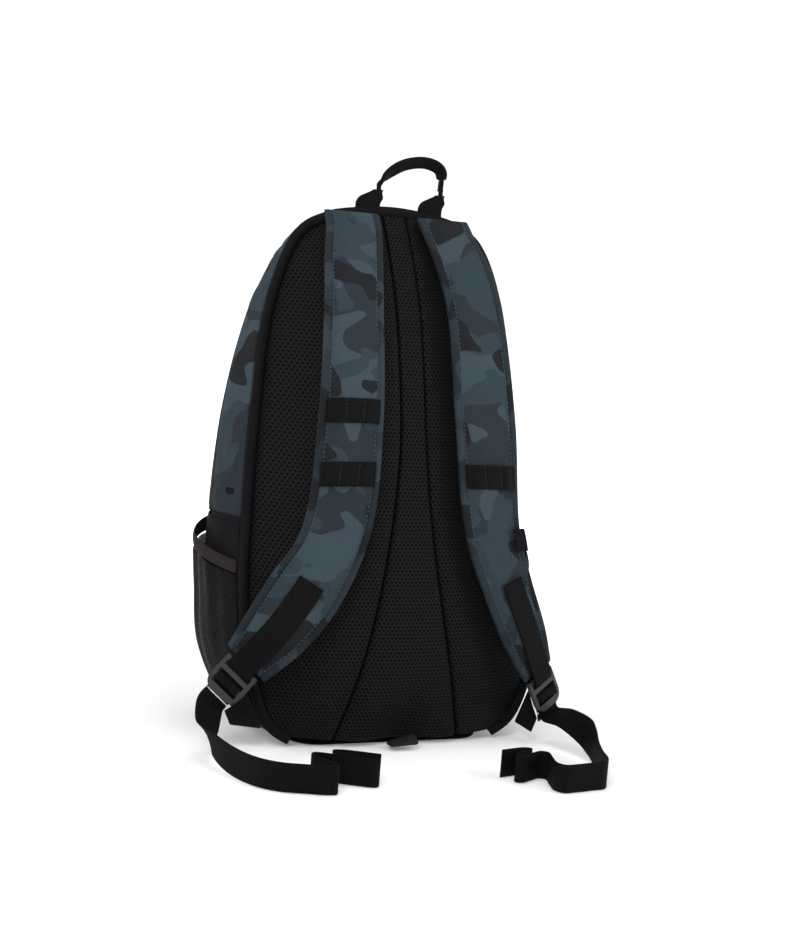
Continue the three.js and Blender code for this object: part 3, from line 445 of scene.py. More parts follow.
def air_mesh(name, pitch=0.0039):
    """Black spacer mesh: a lattice of round holes between slightly shiny threads."""
    m = Nodes(name, 0.62, 0.08)
    near = m.holes(m.uv(), pitch)
    thread = m.ramp(near, 0.26, 0.40)
    speck = m.noise(m.place(), 1500, 2)
    lit = m.blend(m.math("MULTIPLY", speck, 0.9), (0.0035, 0.0032, 0.004), (0.0095, 0.009, 0.0105))
    # The holes are near-black: painted shade inside the holes, set against the speckled thread colour.
    m.color(m.blend(thread, (0.0015, 0.0015, 0.0017), lit))
    m.bump(m.math("ADD", thread, m.math("MULTIPLY", speck, 0.25)), 0.0009, 0.9)
    rough = m.math("MULTIPLY_ADD", thread, -0.35, 0.92)
    m.link(rough, m.shader.inputs["Roughness"])
    return m.material


def see_through_mesh(name, pitch=0.0021):
    """Fine knitted mesh that lets what is behind it show through its holes."""
    m = Nodes(name, 0.6, 0.08)
    near = m.holes(m.uv(), pitch)
    thread = m.ramp(near, 0.22, 0.34)
    speck = m.noise(m.place(), 1500, 2)
    m.color(m.blend(speck, (0.002, 0.002, 0.0024), (0.006, 0.006, 0.0068)))
    m.bump(thread, 0.0004, 0.6)
    m.link(m.math("MULTIPLY_ADD", thread, 0.75, 0.25), m.shader.inputs["Alpha"])
    return m.material


def moulded(name, color, roughness=0.42):
    m = Nodes(name, roughness, 0.3)
    grain = m.noise(m.place(), 700, 3)
    m.color(m.blend(grain, shaded(color, 0.8), shaded(color, 1.25)))
    m.bump(grain, 0.00008, 0.5)
    m.link(m.math("MULTIPLY_ADD", grain, 0.2, roughness - 0.1), m.shader.inputs["Roughness"])
    return m.material


def thread_material(name, color):
    m = Nodes(name, 0.6, 0.3)
    speck = m.noise(m.place(), 2500, 1)
    m.color(m.blend(speck, shaded(color, 0.7), shaded(color, 1.3)))
    return m.material


CAMO_STRAP = {
    "left": camouflage("camo_strap_left", (0.31, 0.0, 0.12)),
    "right": camouflage("camo_strap_right", (0.77, 0.0, 0.40)),
}
# The strap binding: a copy of the camouflage darkened with painted shade.
CAMO_EDGE = camouflage("camo_binding", (1.35, 0.2, 0.75), 0.55)
# The side, top and flap strips: a copy of the camouflage darkened a little with painted shade.
CAMO_SIDE = camouflage("camo_side", (0.10, 0.4, 0.90), 0.86)
CAMO_FRONT = camouflage("camo_front", (0.50, 0.1, 0.20))
BLACK = woven("black_fabric", (0.0035, 0.0035, 0.0042))
BINDING = woven("elastic_binding", (0.014, 0.012, 0.011), 0.85, 0.0013)
WEB = webbing_material("webbing", (0.0042, 0.0039, 0.0039))
PADDING = air_mesh("air_mesh")
POCKET_MESH = see_through_mesh("pocket_mesh")
PLASTIC = moulded("lock_plastic", (0.018, 0.018, 0.019))
METAL = moulded("slider_paint", (0.012, 0.012, 0.012), 0.5)
METAL.node_tree.nodes["Principled BSDF"].inputs["Metallic"].default_value = 0.7
BLUE_THREAD = thread_material("blue_thread", (0.030, 0.060, 0.085))
BLACK_THREAD = thread_material("black_thread", (0.022, 0.020, 0.019))
ZIP_TAPE = woven("zip_tape", (0.009, 0.009, 0.010), 0.8, 0.0011)
BOARD = woven("stiffener", (0.05, 0.05, 0.05), 0.7)


def keep(obj, body, nodes=()):
    """The piece rides on its body and stands for its CAD nodes, which are hidden."""
    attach(obj, body)
    if nodes:
        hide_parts(*nodes)


def sewn(name, outer, inner, uv, material, body, nodes):
    """A smoothed slab of cloth, kept on its body."""
    obj = slab(name, outer, inner, uv, material)
    refine(obj)
    keep(obj, body, nodes)
    return obj


def stitches(name, path, out, body, material, length=2.6, gap=1.6, radius=0.42, shift=0.0):
    """Dashes of thread that lie along a path; out is the way they stand up from the cloth."""
    path, out = np.asarray(path), unit(np.asarray(out))
    distance = run_length(path)
    pitch = (length + gap) * MM
    starts = np.arange(shift * MM, distance[-1] - length * MM, pitch)
    verts, faces = [], []
    for start in starts:
        base = len(verts)
        forward = unit(resample(start + length * MM, distance, path) - resample(start, distance, path))
        for share, size, rise in ((0, 0.45, -0.3), (0.2, 1, 0.25), (0.8, 1, 0.25), (1, 0.45, -0.3)):
            s = start + share * length * MM
            up = unit(resample(s, distance, out))
            side = np.cross(forward, up)
            centre = resample(s, distance, path) + up * rise * radius * MM
            for k in range(6):
                angle = math.pi * k / 3
                verts.append(centre + radius * size * MM * (math.cos(angle) * side + math.sin(angle) * up))
        for ring in range(3):
            for k in range(6):
                a, b = base + ring * 6 + k, base + ring * 6 + (k + 1) % 6
                faces.append((a, b, b + 6, a + 6))
        faces.append(tuple(range(base + 5, base - 1, -1)))
        faces.append(tuple(range(base + 18, base + 24)))
    keep(mesh_object(name, verts, faces, material), body)


# ---- webbing tails, the free ends
WEBBING_WIDTH = 25 * MM
WEBBING_THICKNESS = 1.6 * MM
SIDES = (("left", -1), ("right", 1))


SIGN = dict(SIDES)


def mirrored(p, sign):
    return np.asarray(p) * np.array([sign, 1, 1])


INNER_TOP = [(20, 12, 482), (21, -1, 468), (26, -20, 442), (32, -43, 400), (36, -71, 300), (47, -88, 200)]
STRAP_INNER = {
    "left": through([*INNER_TOP, (76, -96, 134), (107, -98, 96), (139.2, -91.2, 67.1)]),
    "right": through([*INNER_TOP, (70, -95, 140), (93, -97, 96), (118.4, -95, 60.3)]),
}
STRAP_OUTER = {
    "left": through([
        (74, 12, 482), (76, -1, 468), (84, -22, 442), (90, -45, 400), (98, -70, 300),
        (109, -76, 200), (135, -78, 160), (156, -77, 124), (167.8, -68.8, 94.9),
    ]),
    "right": through([
        (72, 12, 482), (74, -1, 468), (82, -22, 442), (88, -45, 400), (98, -70, 300),
        (109, -76, 200), (125, -76, 156), (143, -78, 110), (151.6, -80, 76.7),
    ]),
}


def strap_face(side, u, v):
    return at(STRAP_INNER[side], v) * (1 - u[..., None]) + at(STRAP_OUTER[side], v) * u[..., None]


def strap_frame(side, u, v):
    across = unit(at(STRAP_OUTER[side], v) - at(STRAP_INNER[side], v))
    above = strap_face(side, u, np.maximum(v - 0.01, 0))
    down = unit(strap_face(side, u, np.minimum(v + 0.01, 1)) - above)
    normal = unit(np.cross(across, down))
    normal = np.where(normal[..., 1:2] > 0, -normal, normal)
    return strap_face(side, u, v), across, normal, down


class Lock:
    """The ladder lock's own axes, 20 mm below the strap's tip."""

    def __init__(self, side):
        centre, _, normal, down = (q[0] for q in strap_frame(side, np.array([0.5]), np.array([1.0])))
        self.out, self.down = normal, down
        self.centre = centre + down * 20 * MM
        self.across = unit(np.cross(normal, down))
        if self.across[0] < 0:
            self.across = -self.across

    def at(self, along, lift):
        return self.centre + (self.down * along + self.out * lift) * MM


LOCKS = {side: Lock(side) for side, _ in SIDES}


def ribbon(name, centres, across, width, thickness, material, bend=0.0):
    """A woven tape with rounded selvedges along a smooth path. bend cups it across its width."""
    steps = len(centres)
    distance = run_length(centres)
    forward = unit(np.gradient(centres, axis=0))
    across = unit(across - forward * np.sum(across * forward, axis=1, keepdims=True))
    normal = unit(np.cross(across, forward))
    shares = np.array([-1, -0.985, -0.93, -0.6, -0.2, 0.2, 0.6, 0.93, 0.985, 1])
    heights = np.array([0.25, 0.75, 1.12, 1, 1, 1, 1, 1.12, 0.75, 0.25])
    loop = [*zip(shares, heights), *zip(shares[::-1], -heights[::-1])]
    width = np.broadcast_to(width, (steps,))[:, None]
    thickness = np.broadcast_to(thickness, (steps,))[:, None]
    rings, uv = [], []
    for s, h in loop:
        cup = bend * (1 - s * s)
        rings.append(centres + across * s * width / 2 + normal * (h * thickness / 2 + cup))
        uv.append(np.stack([s * width[:, 0] / 2, distance], axis=1))
    return tube_rings(name, np.stack(rings, axis=1), np.stack(uv, axis=1), material)


REST = 12.9


def lying(*places):
    """Points of a tail that stands on its edge on the floor: x, y, height, turn."""
    return [(x, y, REST, 1) for x, y in places]


TAILS = {
    "left": [
        (-186, -82, 30, 0.15), (-189, -97, 21, 0.5), (-187, -118, 16, 0.8),
        *lying(
            (-181, -148), (-171, -177), (-157, -192), (-138, -201), (-121, -208), (-114, -208),
            (-113, -203), (-119, -186), (-123, -172), (-119, -167), (-108, -173), (-88, -187),
            (-74, -195), (-70, -193), (-73, -188), (-88, -178), (-100, -168), (-100, -163),
            (-92, -164), (-64, -182),
        ),
    ],
    "right": [
        (160, -104, 28, 0.15), (164, -130, 24, 0.45), (158, -158, 19, 0.75), (149, -182, 15, 0.95),
        *lying(
            (141, -204), (134, -224), (126, -234), (112, -236), (98, -238), (84, -238),
            (80, -230), (84, -214), (88, -199), (83, -195), (73, -199), (61, -204),
            (57, -201), (60, -196), (76, -190), (79, -185), (73, -182), (50, -186),
        ),
    ],
}


def tail(side, sign):
    lock = LOCKS[side]
    start = mirrored(lock.across, sign)
    route = [(*(mirrored(lock.at(along, -3.2), sign) / MM), 0.0) for along in (19.5, 25.5)]
    table = through(route + TAILS[side], 400)
    centres = table[:, :3]
    length = np.linalg.norm(np.diff(centres, axis=0), axis=1).sum()
    turn = np.clip(table[:, 3:4], 0, 1)
    across = start * (1 - turn) + np.array([0, 0, 1.0]) * turn
    rows = int(length / 0.0016)
    distance = run_length(centres)
    places = np.linspace(0, distance[-1], rows)
    centres, across = resample(places, distance, centres), resample(places, distance, across)
    centres[:, 2] = np.maximum(centres[:, 2], (WEBBING_WIDTH / 2 + 0.2 * MM) * unit(across)[:, 2])
    obj = ribbon("tail_" + side, centres, across, WEBBING_WIDTH, WEBBING_THICKNESS, WEB)
    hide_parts("webbing_tail_" + side)
    list(centres[int(rows * 0.42)])
    list(centres[0])
    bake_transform(obj)
    list(centres[0])
    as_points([list(p) for p in centres[::4]] + [list(centres[-1])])


for side, sign in SIDES:
    tail(side, sign)

# ---- edges of the body
REAR = through([
    (95, -65, 0), (124, -64, 20), (144, -58, 72), (148, -42, 128), (140, -13, 190),
    (131, 8, 300), (119, 18, 400), (91, 25, 464), (50, 24, 485),
])
MIDDLE = through([
    (98, 6, 0), (128, 9, 20), (150, 17, 72), (154, 25, 128), (155, 35, 190),
    (146, 48, 300), (124, 51, 395), (89, 50, 456), (48, 46, 476),
])
FRONT = through([
    (88, 72, 0), (116, 74, 18), (134, 80, 72), (138, 83, 128), (137, 84, 190),
    (124, 82, 292), (102, 75, 380), (68, 67, 441), (34, 63, 461),
])
PAD_CENTRE = through([
    (0, -78, 0), (0, -82, 20), (0, -89, 72), (0, -87, 128), (0, -79, 190),
    (0, -60, 300), (0, -29, 400), (0, 8, 466), (0, 22, 485),
])
FRONT_CENTRE = through([
    (0, 86, 0), (0, 90, 18), (0, 98, 72), (0, 100, 128), (0, 100, 190),
    (0, 95, 292), (0, 85, 380), (0, 72, 441), (0, 65, 461),
])
SEAM = 0.8 * MM
PIPING = 2.5 * MM
EDGE_INSET = 3.7 * MM
FABRIC = 2.5 * MM
AT_BASE = share_at_height(REAR, 0.0038)
AT_TOP = 0.992
AT_ZIP = share_at_height(REAR, 0.198)
ZIP_PLACE = 0.6
ZIP_TAPE_WIDTH = 8 * MM
UP_TO_ZIP = (ZIP_PLACE, -ZIP_TAPE_WIDTH)
TOP_SHARE = 0.14
TOP_CROWN = 3 * MM


def inset_edge(edge, s, inset):
    tangent = at(edge, np.minimum(s + 3e-3, 1)) - at(edge, np.maximum(s - 3e-3, 0))
    inward = np.stack([-tangent[..., 2], np.zeros_like(tangent[..., 0]), tangent[..., 0]], axis=-1)
    return at(edge, s) + unit(inward) * inset


def bulged(edge, centre, u, s, inset=0.0):
    e, c = inset_edge(edge, s, inset), at(centre, s)
    y = mix(c[..., 1], e[..., 1], np.abs(u) ** 2.5)
    return np.stack([u * e[..., 0], y, mix(c[..., 2], e[..., 2], u * u)], axis=-1)


def gusset(s, v):
    w = v[..., None]
    return (
        at(REAR, s) * (1 - w) * (1 - 2 * w)
        + at(MIDDLE, s) * 4 * w * (1 - w)
        + at(FRONT, s) * w * (2 * w - 1)
    )


def past(s, v, reach):
    v = np.full(np.shape(s), float(v))
    span = np.linalg.norm(gusset(s, v + 0.01) - gusset(s, v - 0.01), axis=-1)
    return v + reach * 0.02 / span


def arch_share(t):
    return mix(1.0, AT_ZIP, np.maximum(0, np.abs(t) - TOP_SHARE) / (1 - TOP_SHARE))


def arch(t, v):
    p = gusset(arch_share(t), v)
    u = np.minimum(1, np.abs(t) / TOP_SHARE)
    return np.stack([np.sign(t) * p[..., 0] * u, p[..., 1], p[..., 2] + TOP_CROWN * (1 - u * u)], axis=-1)


def arch_strip(t_from, t_to, start, end):
    def surface(u, v):
        t = mix(t_from, t_to, v)
        s = arch_share(t)
        return arch(t, mix(past(s, *start), past(s, *end), u))

    return surface


def border(shape, rows, columns):
    free = np.zeros(shape, bool)
    free[rows:-rows, columns:-columns] = True
    return free


def cloth_panel(name, surface, size, material, body, node, grow=0.02, out=0, into=FABRIC,
                pressure=3.0, cap=4 * MM, edge=2):
    """A sewn panel: it follows its surface, filled out and puckered between its seams."""
    u, _, base, n = laid(surface, *size)
    outer = relax(base + n * out, border(u.shape, edge, edge), pressure, grow, cap)
    sewn(name, outer, base - n * into, arc_uv(base), material, body, [node])


# ---- back pads and channels
def stitch_half(z):
    return (12 + 54 * np.maximum(0, 1 - z / 0.3) ** 1.7) * MM


def stitch_share(s, gap):
    edge = inset_edge(REAR, s, EDGE_INSET)
    return np.minimum((stitch_half(edge[..., 2]) + gap) / edge[..., 0], 0.72)


def rolled(distance, radius, drop):
    """How far a padded surface falls near its sewn edge."""
    t = np.clip(1 - distance / radius, 0, 1)
    return drop * (1 - np.sqrt(np.maximum(0, 1 - t * t)))


def back_pad(name, start, end, columns, node):
    """One foam pad under the mesh, rolled down into the sewn channels and the piping."""

    def across(u, s):
        return mix(start(s), end(s), u)

    def surface(u, v):
        s = mix(AT_BASE, AT_TOP, v)
        return bulged(REAR, PAD_CENTRE, across(u, s), s, EDGE_INSET + 0.6 * MM)

    u, v, base, n = laid(surface, columns, 104)
    width = np.linalg.norm(np.diff(base, axis=1), axis=-1).sum(axis=1)[:, None]
    side = np.minimum(u, 1 - u) * width
    height = np.minimum(v, 1 - v) * 0.5
    fall = rolled(side, 0.007, 0.0020) + rolled(height, 0.008, 0.003)
    dimple = np.exp(-(((base[..., 0] - 0.004) / 0.026) ** 2 + ((base[..., 2] - 0.012) / 0.026) ** 2))
    outer = base - n * (fall + 0.010 * dimple)[..., None]
    outer = relax(outer, border(u.shape, 2, 2), 3.0, 0.012, 0.0022)
    depth = mix(10, 4, np.abs(across(u, mix(AT_BASE, AT_TOP, v))) ** 4) * MM
    uv = np.stack([base[..., 0], arc_uv(base)[..., 1]], axis=-1)
    sewn(name, outer, base - n * depth[..., None], uv, PADDING, "pack", [node])


GAP = 0.25 * MM
left_channel, right_channel = (lambda s: -stitch_share(s, -GAP)), (lambda s: stitch_share(s, -GAP))
back_pad("pad_centre", left_channel, right_channel, 16, "back_pad_centre")
for side, sign in SIDES:
    channel, wall = (lambda s, k=sign: k * stitch_share(s, GAP)), (lambda s, k=sign: k + 0 * s)
    back_pad("pad_" + side, channel, wall, 30, "back_pad_" + side)


# ---- piping, side panels, top
def piping(name, edge, start, radius, nodes, body, inward=0.0):
    s = np.linspace(start, 1, 120)
    side = at(edge, s)
    crown = np.array([[0, side[-1, 1], side[-1, 2] + TOP_CROWN]])
    path = np.vstack([mirrored(side, -1), crown, side[::-1]])
    table = through(path[::4] / MM if len(path) % 4 == 1 else np.vstack([path[::4], path[-1:]]) / MM, 420)
    table = table + unit(CORE - table) * inward
    forward = unit(np.gradient(table, axis=0))
    a = unit(np.cross(forward, np.array([0, 1.0, 0])))
    b = np.cross(forward, a)
    angles = np.linspace(0, 2 * math.pi, 12, endpoint=False)
    rings = [table + radius * (math.cos(t) * a + math.sin(t) * b) for t in angles]
    distance = np.linspace(0, 1.3, len(table))
    uv = [np.stack([np.full(len(table), t * radius), distance], axis=1) for t in angles]
    obj = tube_rings(name, np.stack(rings, axis=1), np.stack(uv, axis=1), BLACK)
    keep(obj, body, nodes)


SEAM_TAPE = 4.6 * MM  # the bound seam allowance inside the bag, behind each piping
TAPE_DEPTH = 3.2 * MM
piping("piping_rear", REAR, AT_BASE + 0.008, PIPING, ["piping_back"], "pack")
piping("seam_tape_rear", REAR, AT_BASE + 0.008, SEAM_TAPE, [], "pack", TAPE_DEPTH)
piping("piping_flap", FRONT, AT_ZIP + 0.012, PIPING, ["piping_front"], "flap")
piping("seam_tape_flap", FRONT, AT_ZIP + 0.012, SEAM_TAPE, [], "flap", TAPE_DEPTH)


def gusset_side(sign, low, high, start, end):
    def surface(u, v):
        s = mix(low, high, v)
        p = gusset(s, mix(past(s, *start), past(s, *end), u))
        return mirrored(p, sign)

    return surface


for side, sign in SIDES:
    lower = gusset_side(sign, AT_BASE + 0.006, AT_ZIP - 0.004, (0, EDGE_INSET), (1, -EDGE_INSET))
    name = "side_panel_lower_" + side
    cloth_panel("side_lower_" + side, lower, (30, 40), BLACK, "pack", name)
    upper = arch_strip(sign * 0.997, sign * (TOP_SHARE + 0.004), (0, EDGE_INSET), UP_TO_ZIP)
    cloth_panel("side_upper_" + side, upper, (14, 64), CAMO_SIDE, "pack", "side_panel_upper_" + side, 0.03)
    backing = gusset_side(sign, AT_ZIP - 0.03, AT_ZIP + 0.03, (0, PIPING), UP_TO_ZIP)
    _, _, base, n = laid(backing, 16, 6)
    obj = slab("seam_backing_" + side, base - n * 1.4 * MM, base - n * 2.2 * MM, arc_uv(base), BLACK)
    keep(obj, "pack", ())
top_end = TOP_SHARE - 0.002
top = arch_strip(-top_end, top_end, (0, EDGE_INSET), UP_TO_ZIP)
cloth_panel("top_strip", top, (8, 20), CAMO_SIDE, "pack", "top_panel", 0.01)

for name, span, body in (
    ("rear", (SEAM - ZIP_TAPE_WIDTH, -SEAM / 2), "pack"),
    ("front", (SEAM / 2, ZIP_TAPE_WIDTH - SEAM), "flap"),
):
    _, _, base, n = laid(arch_strip(-1, 1, (ZIP_PLACE, span[0]), (ZIP_PLACE, span[1])), 4, 240)
    obj = slab("zip_tape_" + name, base - n * 0.4 * MM, base - n * 1.8 * MM, arc_uv(base), ZIP_TAPE)
    keep(obj, body, [f"main_zip_{name}_tape"])
flap_strip = arch_strip(-0.997, 0.997, (ZIP_PLACE, ZIP_TAPE_WIDTH), (1, -EDGE_INSET - SEAM))
cloth_panel("flap_side", flap_strip, (8, 130), CAMO_SIDE, "flap", "flap_gusset")
AT_FLAP = share_at_height(FRONT, 0.194)


def front_face(low, high):
    def surface(u, v):
        s = mix(low, high, v)
        return bulged(FRONT, FRONT_CENTRE, mix(-1, 1, u), s, EDGE_INSET + 0.6 * MM)

    return surface


below_flap = front_face(AT_BASE + 0.006, AT_FLAP - 0.001)
on_flap = front_face(AT_FLAP + 0.002, AT_TOP - 0.01)
cloth_panel("front_lower", below_flap, (48, 36), CAMO_FRONT, "pack", "front_panel_lower")
cloth_panel("front_flap", on_flap, (48, 54), CAMO_FRONT, "flap", "flap_panel")
POCKET_SHARE = 88 / 128


def pocket_face(low, high):
    def surface(u, v):
        s = share_at_height(FRONT, mix(low, high, v))
        return bulged(FRONT, FRONT_CENTRE, mix(-POCKET_SHARE, POCKET_SHARE, u), s)

    return surface


cloth_panel(
    "front_pocket", pocket_face(0.214, 0.3612), (36, 30), CAMO_FRONT, "flap", "front_pocket_panel",
    out=3.5 * MM, into=-0.5 * MM,
)
cloth_panel(
    "pocket_zip_tape", pocket_face(0.362, 0.372), (36, 4), ZIP_TAPE, "flap", "front_pocket_zip",
    0.0, 1.9 * MM, -0.5 * MM, 0.5, 0.5 * MM, 1,
)

# ---- side pockets
POCKET_INSET = EDGE_INSET + 2.2 * MM


def bottle(sign, low_share, high_share):
    low = share_at_height(REAR, 0.014)

    def surface(u, v):
        high = share_at_height(REAR, mix(0.162, 0.188, u))
        share = mix(low_share, high_share, v)
        s = mix(low, high, share)
        p = gusset(s, mix(past(s, 0, POCKET_INSET), past(s, 1, -POCKET_INSET), u))
        round_out = np.sin(math.pi * np.clip(u, 0, 1)) ** 0.7
        swell = round_out * np.sin(math.pi / 2 * np.minimum(1, 1.6 * share)) ** 0.8
        p[..., 0] += 12 * MM * swell
        return mirrored(p, sign)

    return surface


def folds(u, v):
    """Soft vertical folds of the pocket mesh, strongest under the elastic."""
    ripple = np.sin(u * 21 + 1.5 * v) * 0.6 + np.sin(u * 37 - 2 * v) * 0.4
    return 1.8 * MM * ripple * np.sin(math.pi * np.clip(u, 0, 1)) * smooth(v * 3) * mix(0.4, 1.0, v)


BINDING_SHARE = 1 - 12 / 174
for side, sign in SIDES:
    u, v, base, n = laid(bottle(sign, 0, BINDING_SHARE - 0.006), 44, 44)
    outer = base + n * (SEAM + 0.6 * MM + folds(u, v))[..., None]
    low, name = outer - n * 0.5 * MM, "side_pocket_" + side
    sewn("pocket_" + side, outer, low, arc_uv(base), POCKET_MESH, "pack", [name])
    u, v, base, n = laid(bottle(sign, BINDING_SHARE, 1), 44, 6)
    gather = 0.35 * MM * np.sin(u * 90)
    outer = base + n * (SEAM + 1.9 * MM * np.sqrt(np.maximum(0.1, 1 - (2 * v - 1) ** 4)) + gather)[..., None]
    low, name = base + n * SEAM, "pocket_binding_" + side
    sewn("pocket_elastic_" + side, outer, low, arc_uv(base), BINDING, "pack", [name])

# ---- base panel
def base_panel():
    outline = []
    w, r = 0.095, 0.026
    x, rear, front = w - r, -0.065 + r, 0.072 - r
    for cx, cy, start in ((x, rear, -90), (x, front, 0), (-x, front, 90), (-x, rear, 180)):
        for k in range(9):
            angle = math.radians(start + 90 * k / 8)
            outline.append((cx + r * math.cos(angle), cy + r * math.sin(angle)))
    outline = np.array(outline)
    centre = outline.mean(axis=0)
    rings = []
    for shrink, z in ((0.965, 0.0), (0.99, 0.0005), (1.0, 0.0015), (0.99, 0.0026), (0.965, 0.003)):
        ring = centre + (outline - centre) * shrink
        rings.append(np.column_stack([ring, np.full(len(ring), z)]))
    uv = [ring[:, :2] for ring in rings]
    return tube_rings("base", rings, uv, BLACK)


keep(base_panel(), "pack", ["base_panel"])

# ---- shoulder straps
def strap_thickness(v):
    rising = mix(4.0, 12.0, np.sin(np.clip(v / 0.25, 0, 1) * math.pi / 2))
    falling = mix(12.0, 6.0, np.clip((v - 0.85) / 0.15, 0, 1))
    return np.where(v < 0.25, rising, falling) * MM


def on_strap(side, u, v, lift):
    centre, _, normal, _ = strap_frame(side, u, v)
    return mirrored(centre + normal * np.asarray(lift)[..., None], SIGN[side])


def strap_middle(side):
    return (STRAP_INNER[side] + STRAP_OUTER[side]) / 2


def strap_at_height(side, z):
    return float(share_at_height(strap_middle(side), z))


BIND = 7.5 * MM


def strap_width(side, v):
    return np.linalg.norm(at(STRAP_OUTER[side], v) - at(STRAP_INNER[side], v), axis=-1)


def strap_lift(distance, v):
    """Half the strap's thickness, in from its edge: a bound roll, a stitched valley, the pad."""
    half = strap_thickness(v) / 2
    roll = np.minimum(3.3 * MM, half) * np.sqrt(np.clip(1 - ((distance - 3.8 * MM) / (4.0 * MM)) ** 2, 0.0, 1))
    valley = np.minimum(1.9 * MM, half * 0.8)
    pad = valley + (half - valley) * smooth((distance - BIND) / (11 * MM)) ** 0.7
    bound = np.maximum(roll, np.where(distance > 3.8 * MM, valley, 0.25 * MM))
    return np.where(distance < BIND, bound, pad)


def bind_edges(obj, lengths, widths):
    """The rolled binding along both edges is its own strip of cloth, darkened with painted shade."""
    obj.data.materials.append(CAMO_EDGE)
    layer = obj.data.uv_layers[0].data
    for face in obj.data.polygons:
        places = np.mean([layer[k].uv for k in face.loop_indices], axis=0)
        across = np.interp(places[1], lengths, widths)
        if min(places[0], across - places[0]) < BIND:
            face.material_index = 1


def strap(side, sign):
    near = np.array([0, 0.3, 1, 2, 3.2, 4.6, 6, 7.0, 7.7, 9, 11.5, 14.5, 18]) * MM
    rows = 150
    v = np.linspace(0, 1, rows + 1)
    width = strap_width(side, v)
    inside = np.linspace(0, 1, 9)[1:-1]
    distance = []
    for w in width:
        squeeze = min(1.0, w / 2 / (near[-1] + 3 * MM))
        left = near * squeeze
        between = left[-1] + (w - 2 * left[-1]) * inside
        distance.append(np.concatenate([left, between, w - left[::-1]]))
    distance = np.array(distance)
    u = distance / width[:, None]
    v = np.repeat(v[:, None], u.shape[1], axis=1)
    from_edge = np.minimum(distance, width[:, None] - distance)
    half = strap_lift(from_edge, v)
    end = np.minimum(v, 1 - v) * 0.52
    half = half * np.clip(0.35 + np.sqrt(np.clip(end / 0.006, 0, 1)) * 0.65, 0, 1)
    outer, back = on_strap(side, u, v, half), on_strap(side, u, v, -half * 0.95)
    free = (from_edge > BIND + 0.8 * MM) & (end > 0.008)
    outer = relax(outer, free, 4.0, 0.035, 0.0028, out=np.array([0, -1.0, 0.1]))
    uv = np.stack([distance, arc_uv(strap_face(side, u, v))[..., 1]], axis=-1)
    cloth, node = CAMO_STRAP[side], "shoulder_strap_" + side
    obj = sewn("strap_" + side, outer, back, uv, cloth, "strap_" + side, [node])
    bind_edges(obj, uv[:, 0, 1], width)
    line = np.linspace(0.012, 0.985, 300)
    for edge in ("inner", "outer"):
        inward = (BIND + 0.1 * MM) / strap_width(side, line)
        across = inward if edge == "inner" else 1 - inward
        lift = strap_lift(np.full(line.shape, BIND + 0.1 * MM), line) + 0.15 * MM
        path = on_strap(side, across, line, lift)
        out = mirrored(strap_frame(side, across, line)[2], sign)
        stitches(f"strap_stitch_{side}_{edge}", path, out, "strap_" + side, BLUE_THREAD)


for side, sign in SIDES:
    strap(side, sign)


def strap_loop(side, sign, number, z):
    place = strap_at_height(side, z * MM)
    pace = np.linalg.norm(at(strap_middle(side), place + 0.01) - at(strap_middle(side), place - 0.01)) / 0.02
    half = 11 * MM / pace
    u, v = lattice(40, 14)
    width = strap_width(side, np.array([place]))[0]
    across = mix(BIND * 0.75 / width, 1 - BIND * 0.75 / width, u)
    along = place + half * (2 * v - 1)
    rows = np.abs(np.stack([u - 1 / 3, u - 2 / 3, u, u - 1])).min(axis=0)
    rise = (0.9 + 1.5 * np.clip(rows / 0.10, 0, 1) ** 0.6) * MM
    lift = strap_lift(np.minimum(across, 1 - across) * width, along) + rise
    edge = 0.35 + 0.65 * np.sqrt(np.clip(np.minimum(v, 1 - v) * 12, 0, 1))
    thick = 1.5 * MM * edge
    top_face, low_face = on_strap(side, across, along, lift + thick), on_strap(side, across, along, lift)
    metres = np.stack([(2 * v - 1) * 11 * MM, across * width], axis=-1)
    piece = f"loop_{side}_{number}"
    sewn(piece, top_face, low_face, metres, WEB, "strap_" + side, ["strap_" + piece])
    for k, share in enumerate((1 / 3, 2 / 3)):
        line = np.linspace(-0.88, 0.88, 20)
        at_u = np.full(line.shape, mix(BIND * 0.75 / width, 1 - BIND * 0.75 / width, share))
        at_v = place + half * line
        lift = strap_lift(np.minimum(at_u, 1 - at_u) * width, at_v) + 0.9 * MM + 1.6 * MM
        path = on_strap(side, at_u, at_v, lift)
        out = mirrored(strap_frame(side, at_u, at_v)[2], sign)
        stitches(f"loop_stitch_{side}_{number}_{k}", path, out, "strap_" + side, BLACK_THREAD, 2.2, 1.2, 0.35)


for side, number, z in (("left", 1, 305), ("left", 2, 250), ("right", 1, 250)):
    strap_loop(side, SIGN[side], number, z)


# ---- strap webbing and locks
def show_solid(node, material, bevel=0.0, angle=30):
    """A CAD solid that shows as it is, with its edges steeper than angle softened."""
    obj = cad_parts[node]
    obj.data.materials.clear()
    obj.data.materials.append(material)
    if bevel:
        edges = obj.modifiers.new("edges", "BEVEL")
        edges.width, edges.segments, edges.limit_method = bevel, 3, "ANGLE"
        edges.angle_limit = math.radians(angle)


LOCK_BAR = 4.5  # millimetres along the lock from its middle, as are the places below
LOCK_LENGTH = 34
SLOT = (LOCK_LENGTH - 3 * LOCK_BAR - 7) / 3
BAR_PLACE = LOCK_BAR / 2 - LOCK_LENGTH / 2
CROSSBAR = 2.5 * LOCK_BAR + 2 * SLOT - LOCK_LENGTH / 2


def even(points, across, step=1.2 * MM):
    """Even steps along a smooth path, and the way across it at each."""
    table = through(np.asarray(points) / MM, 300)
    distance = run_length(table)
    places = np.linspace(0, distance[-1], max(8, int(distance[-1] / step)))
    shares = np.interp(places, distance, np.linspace(0, 1, len(table)))
    sides = resample(shares * (len(across) - 1), np.arange(len(across)), across)
    return resample(places, distance, table), unit(sides)


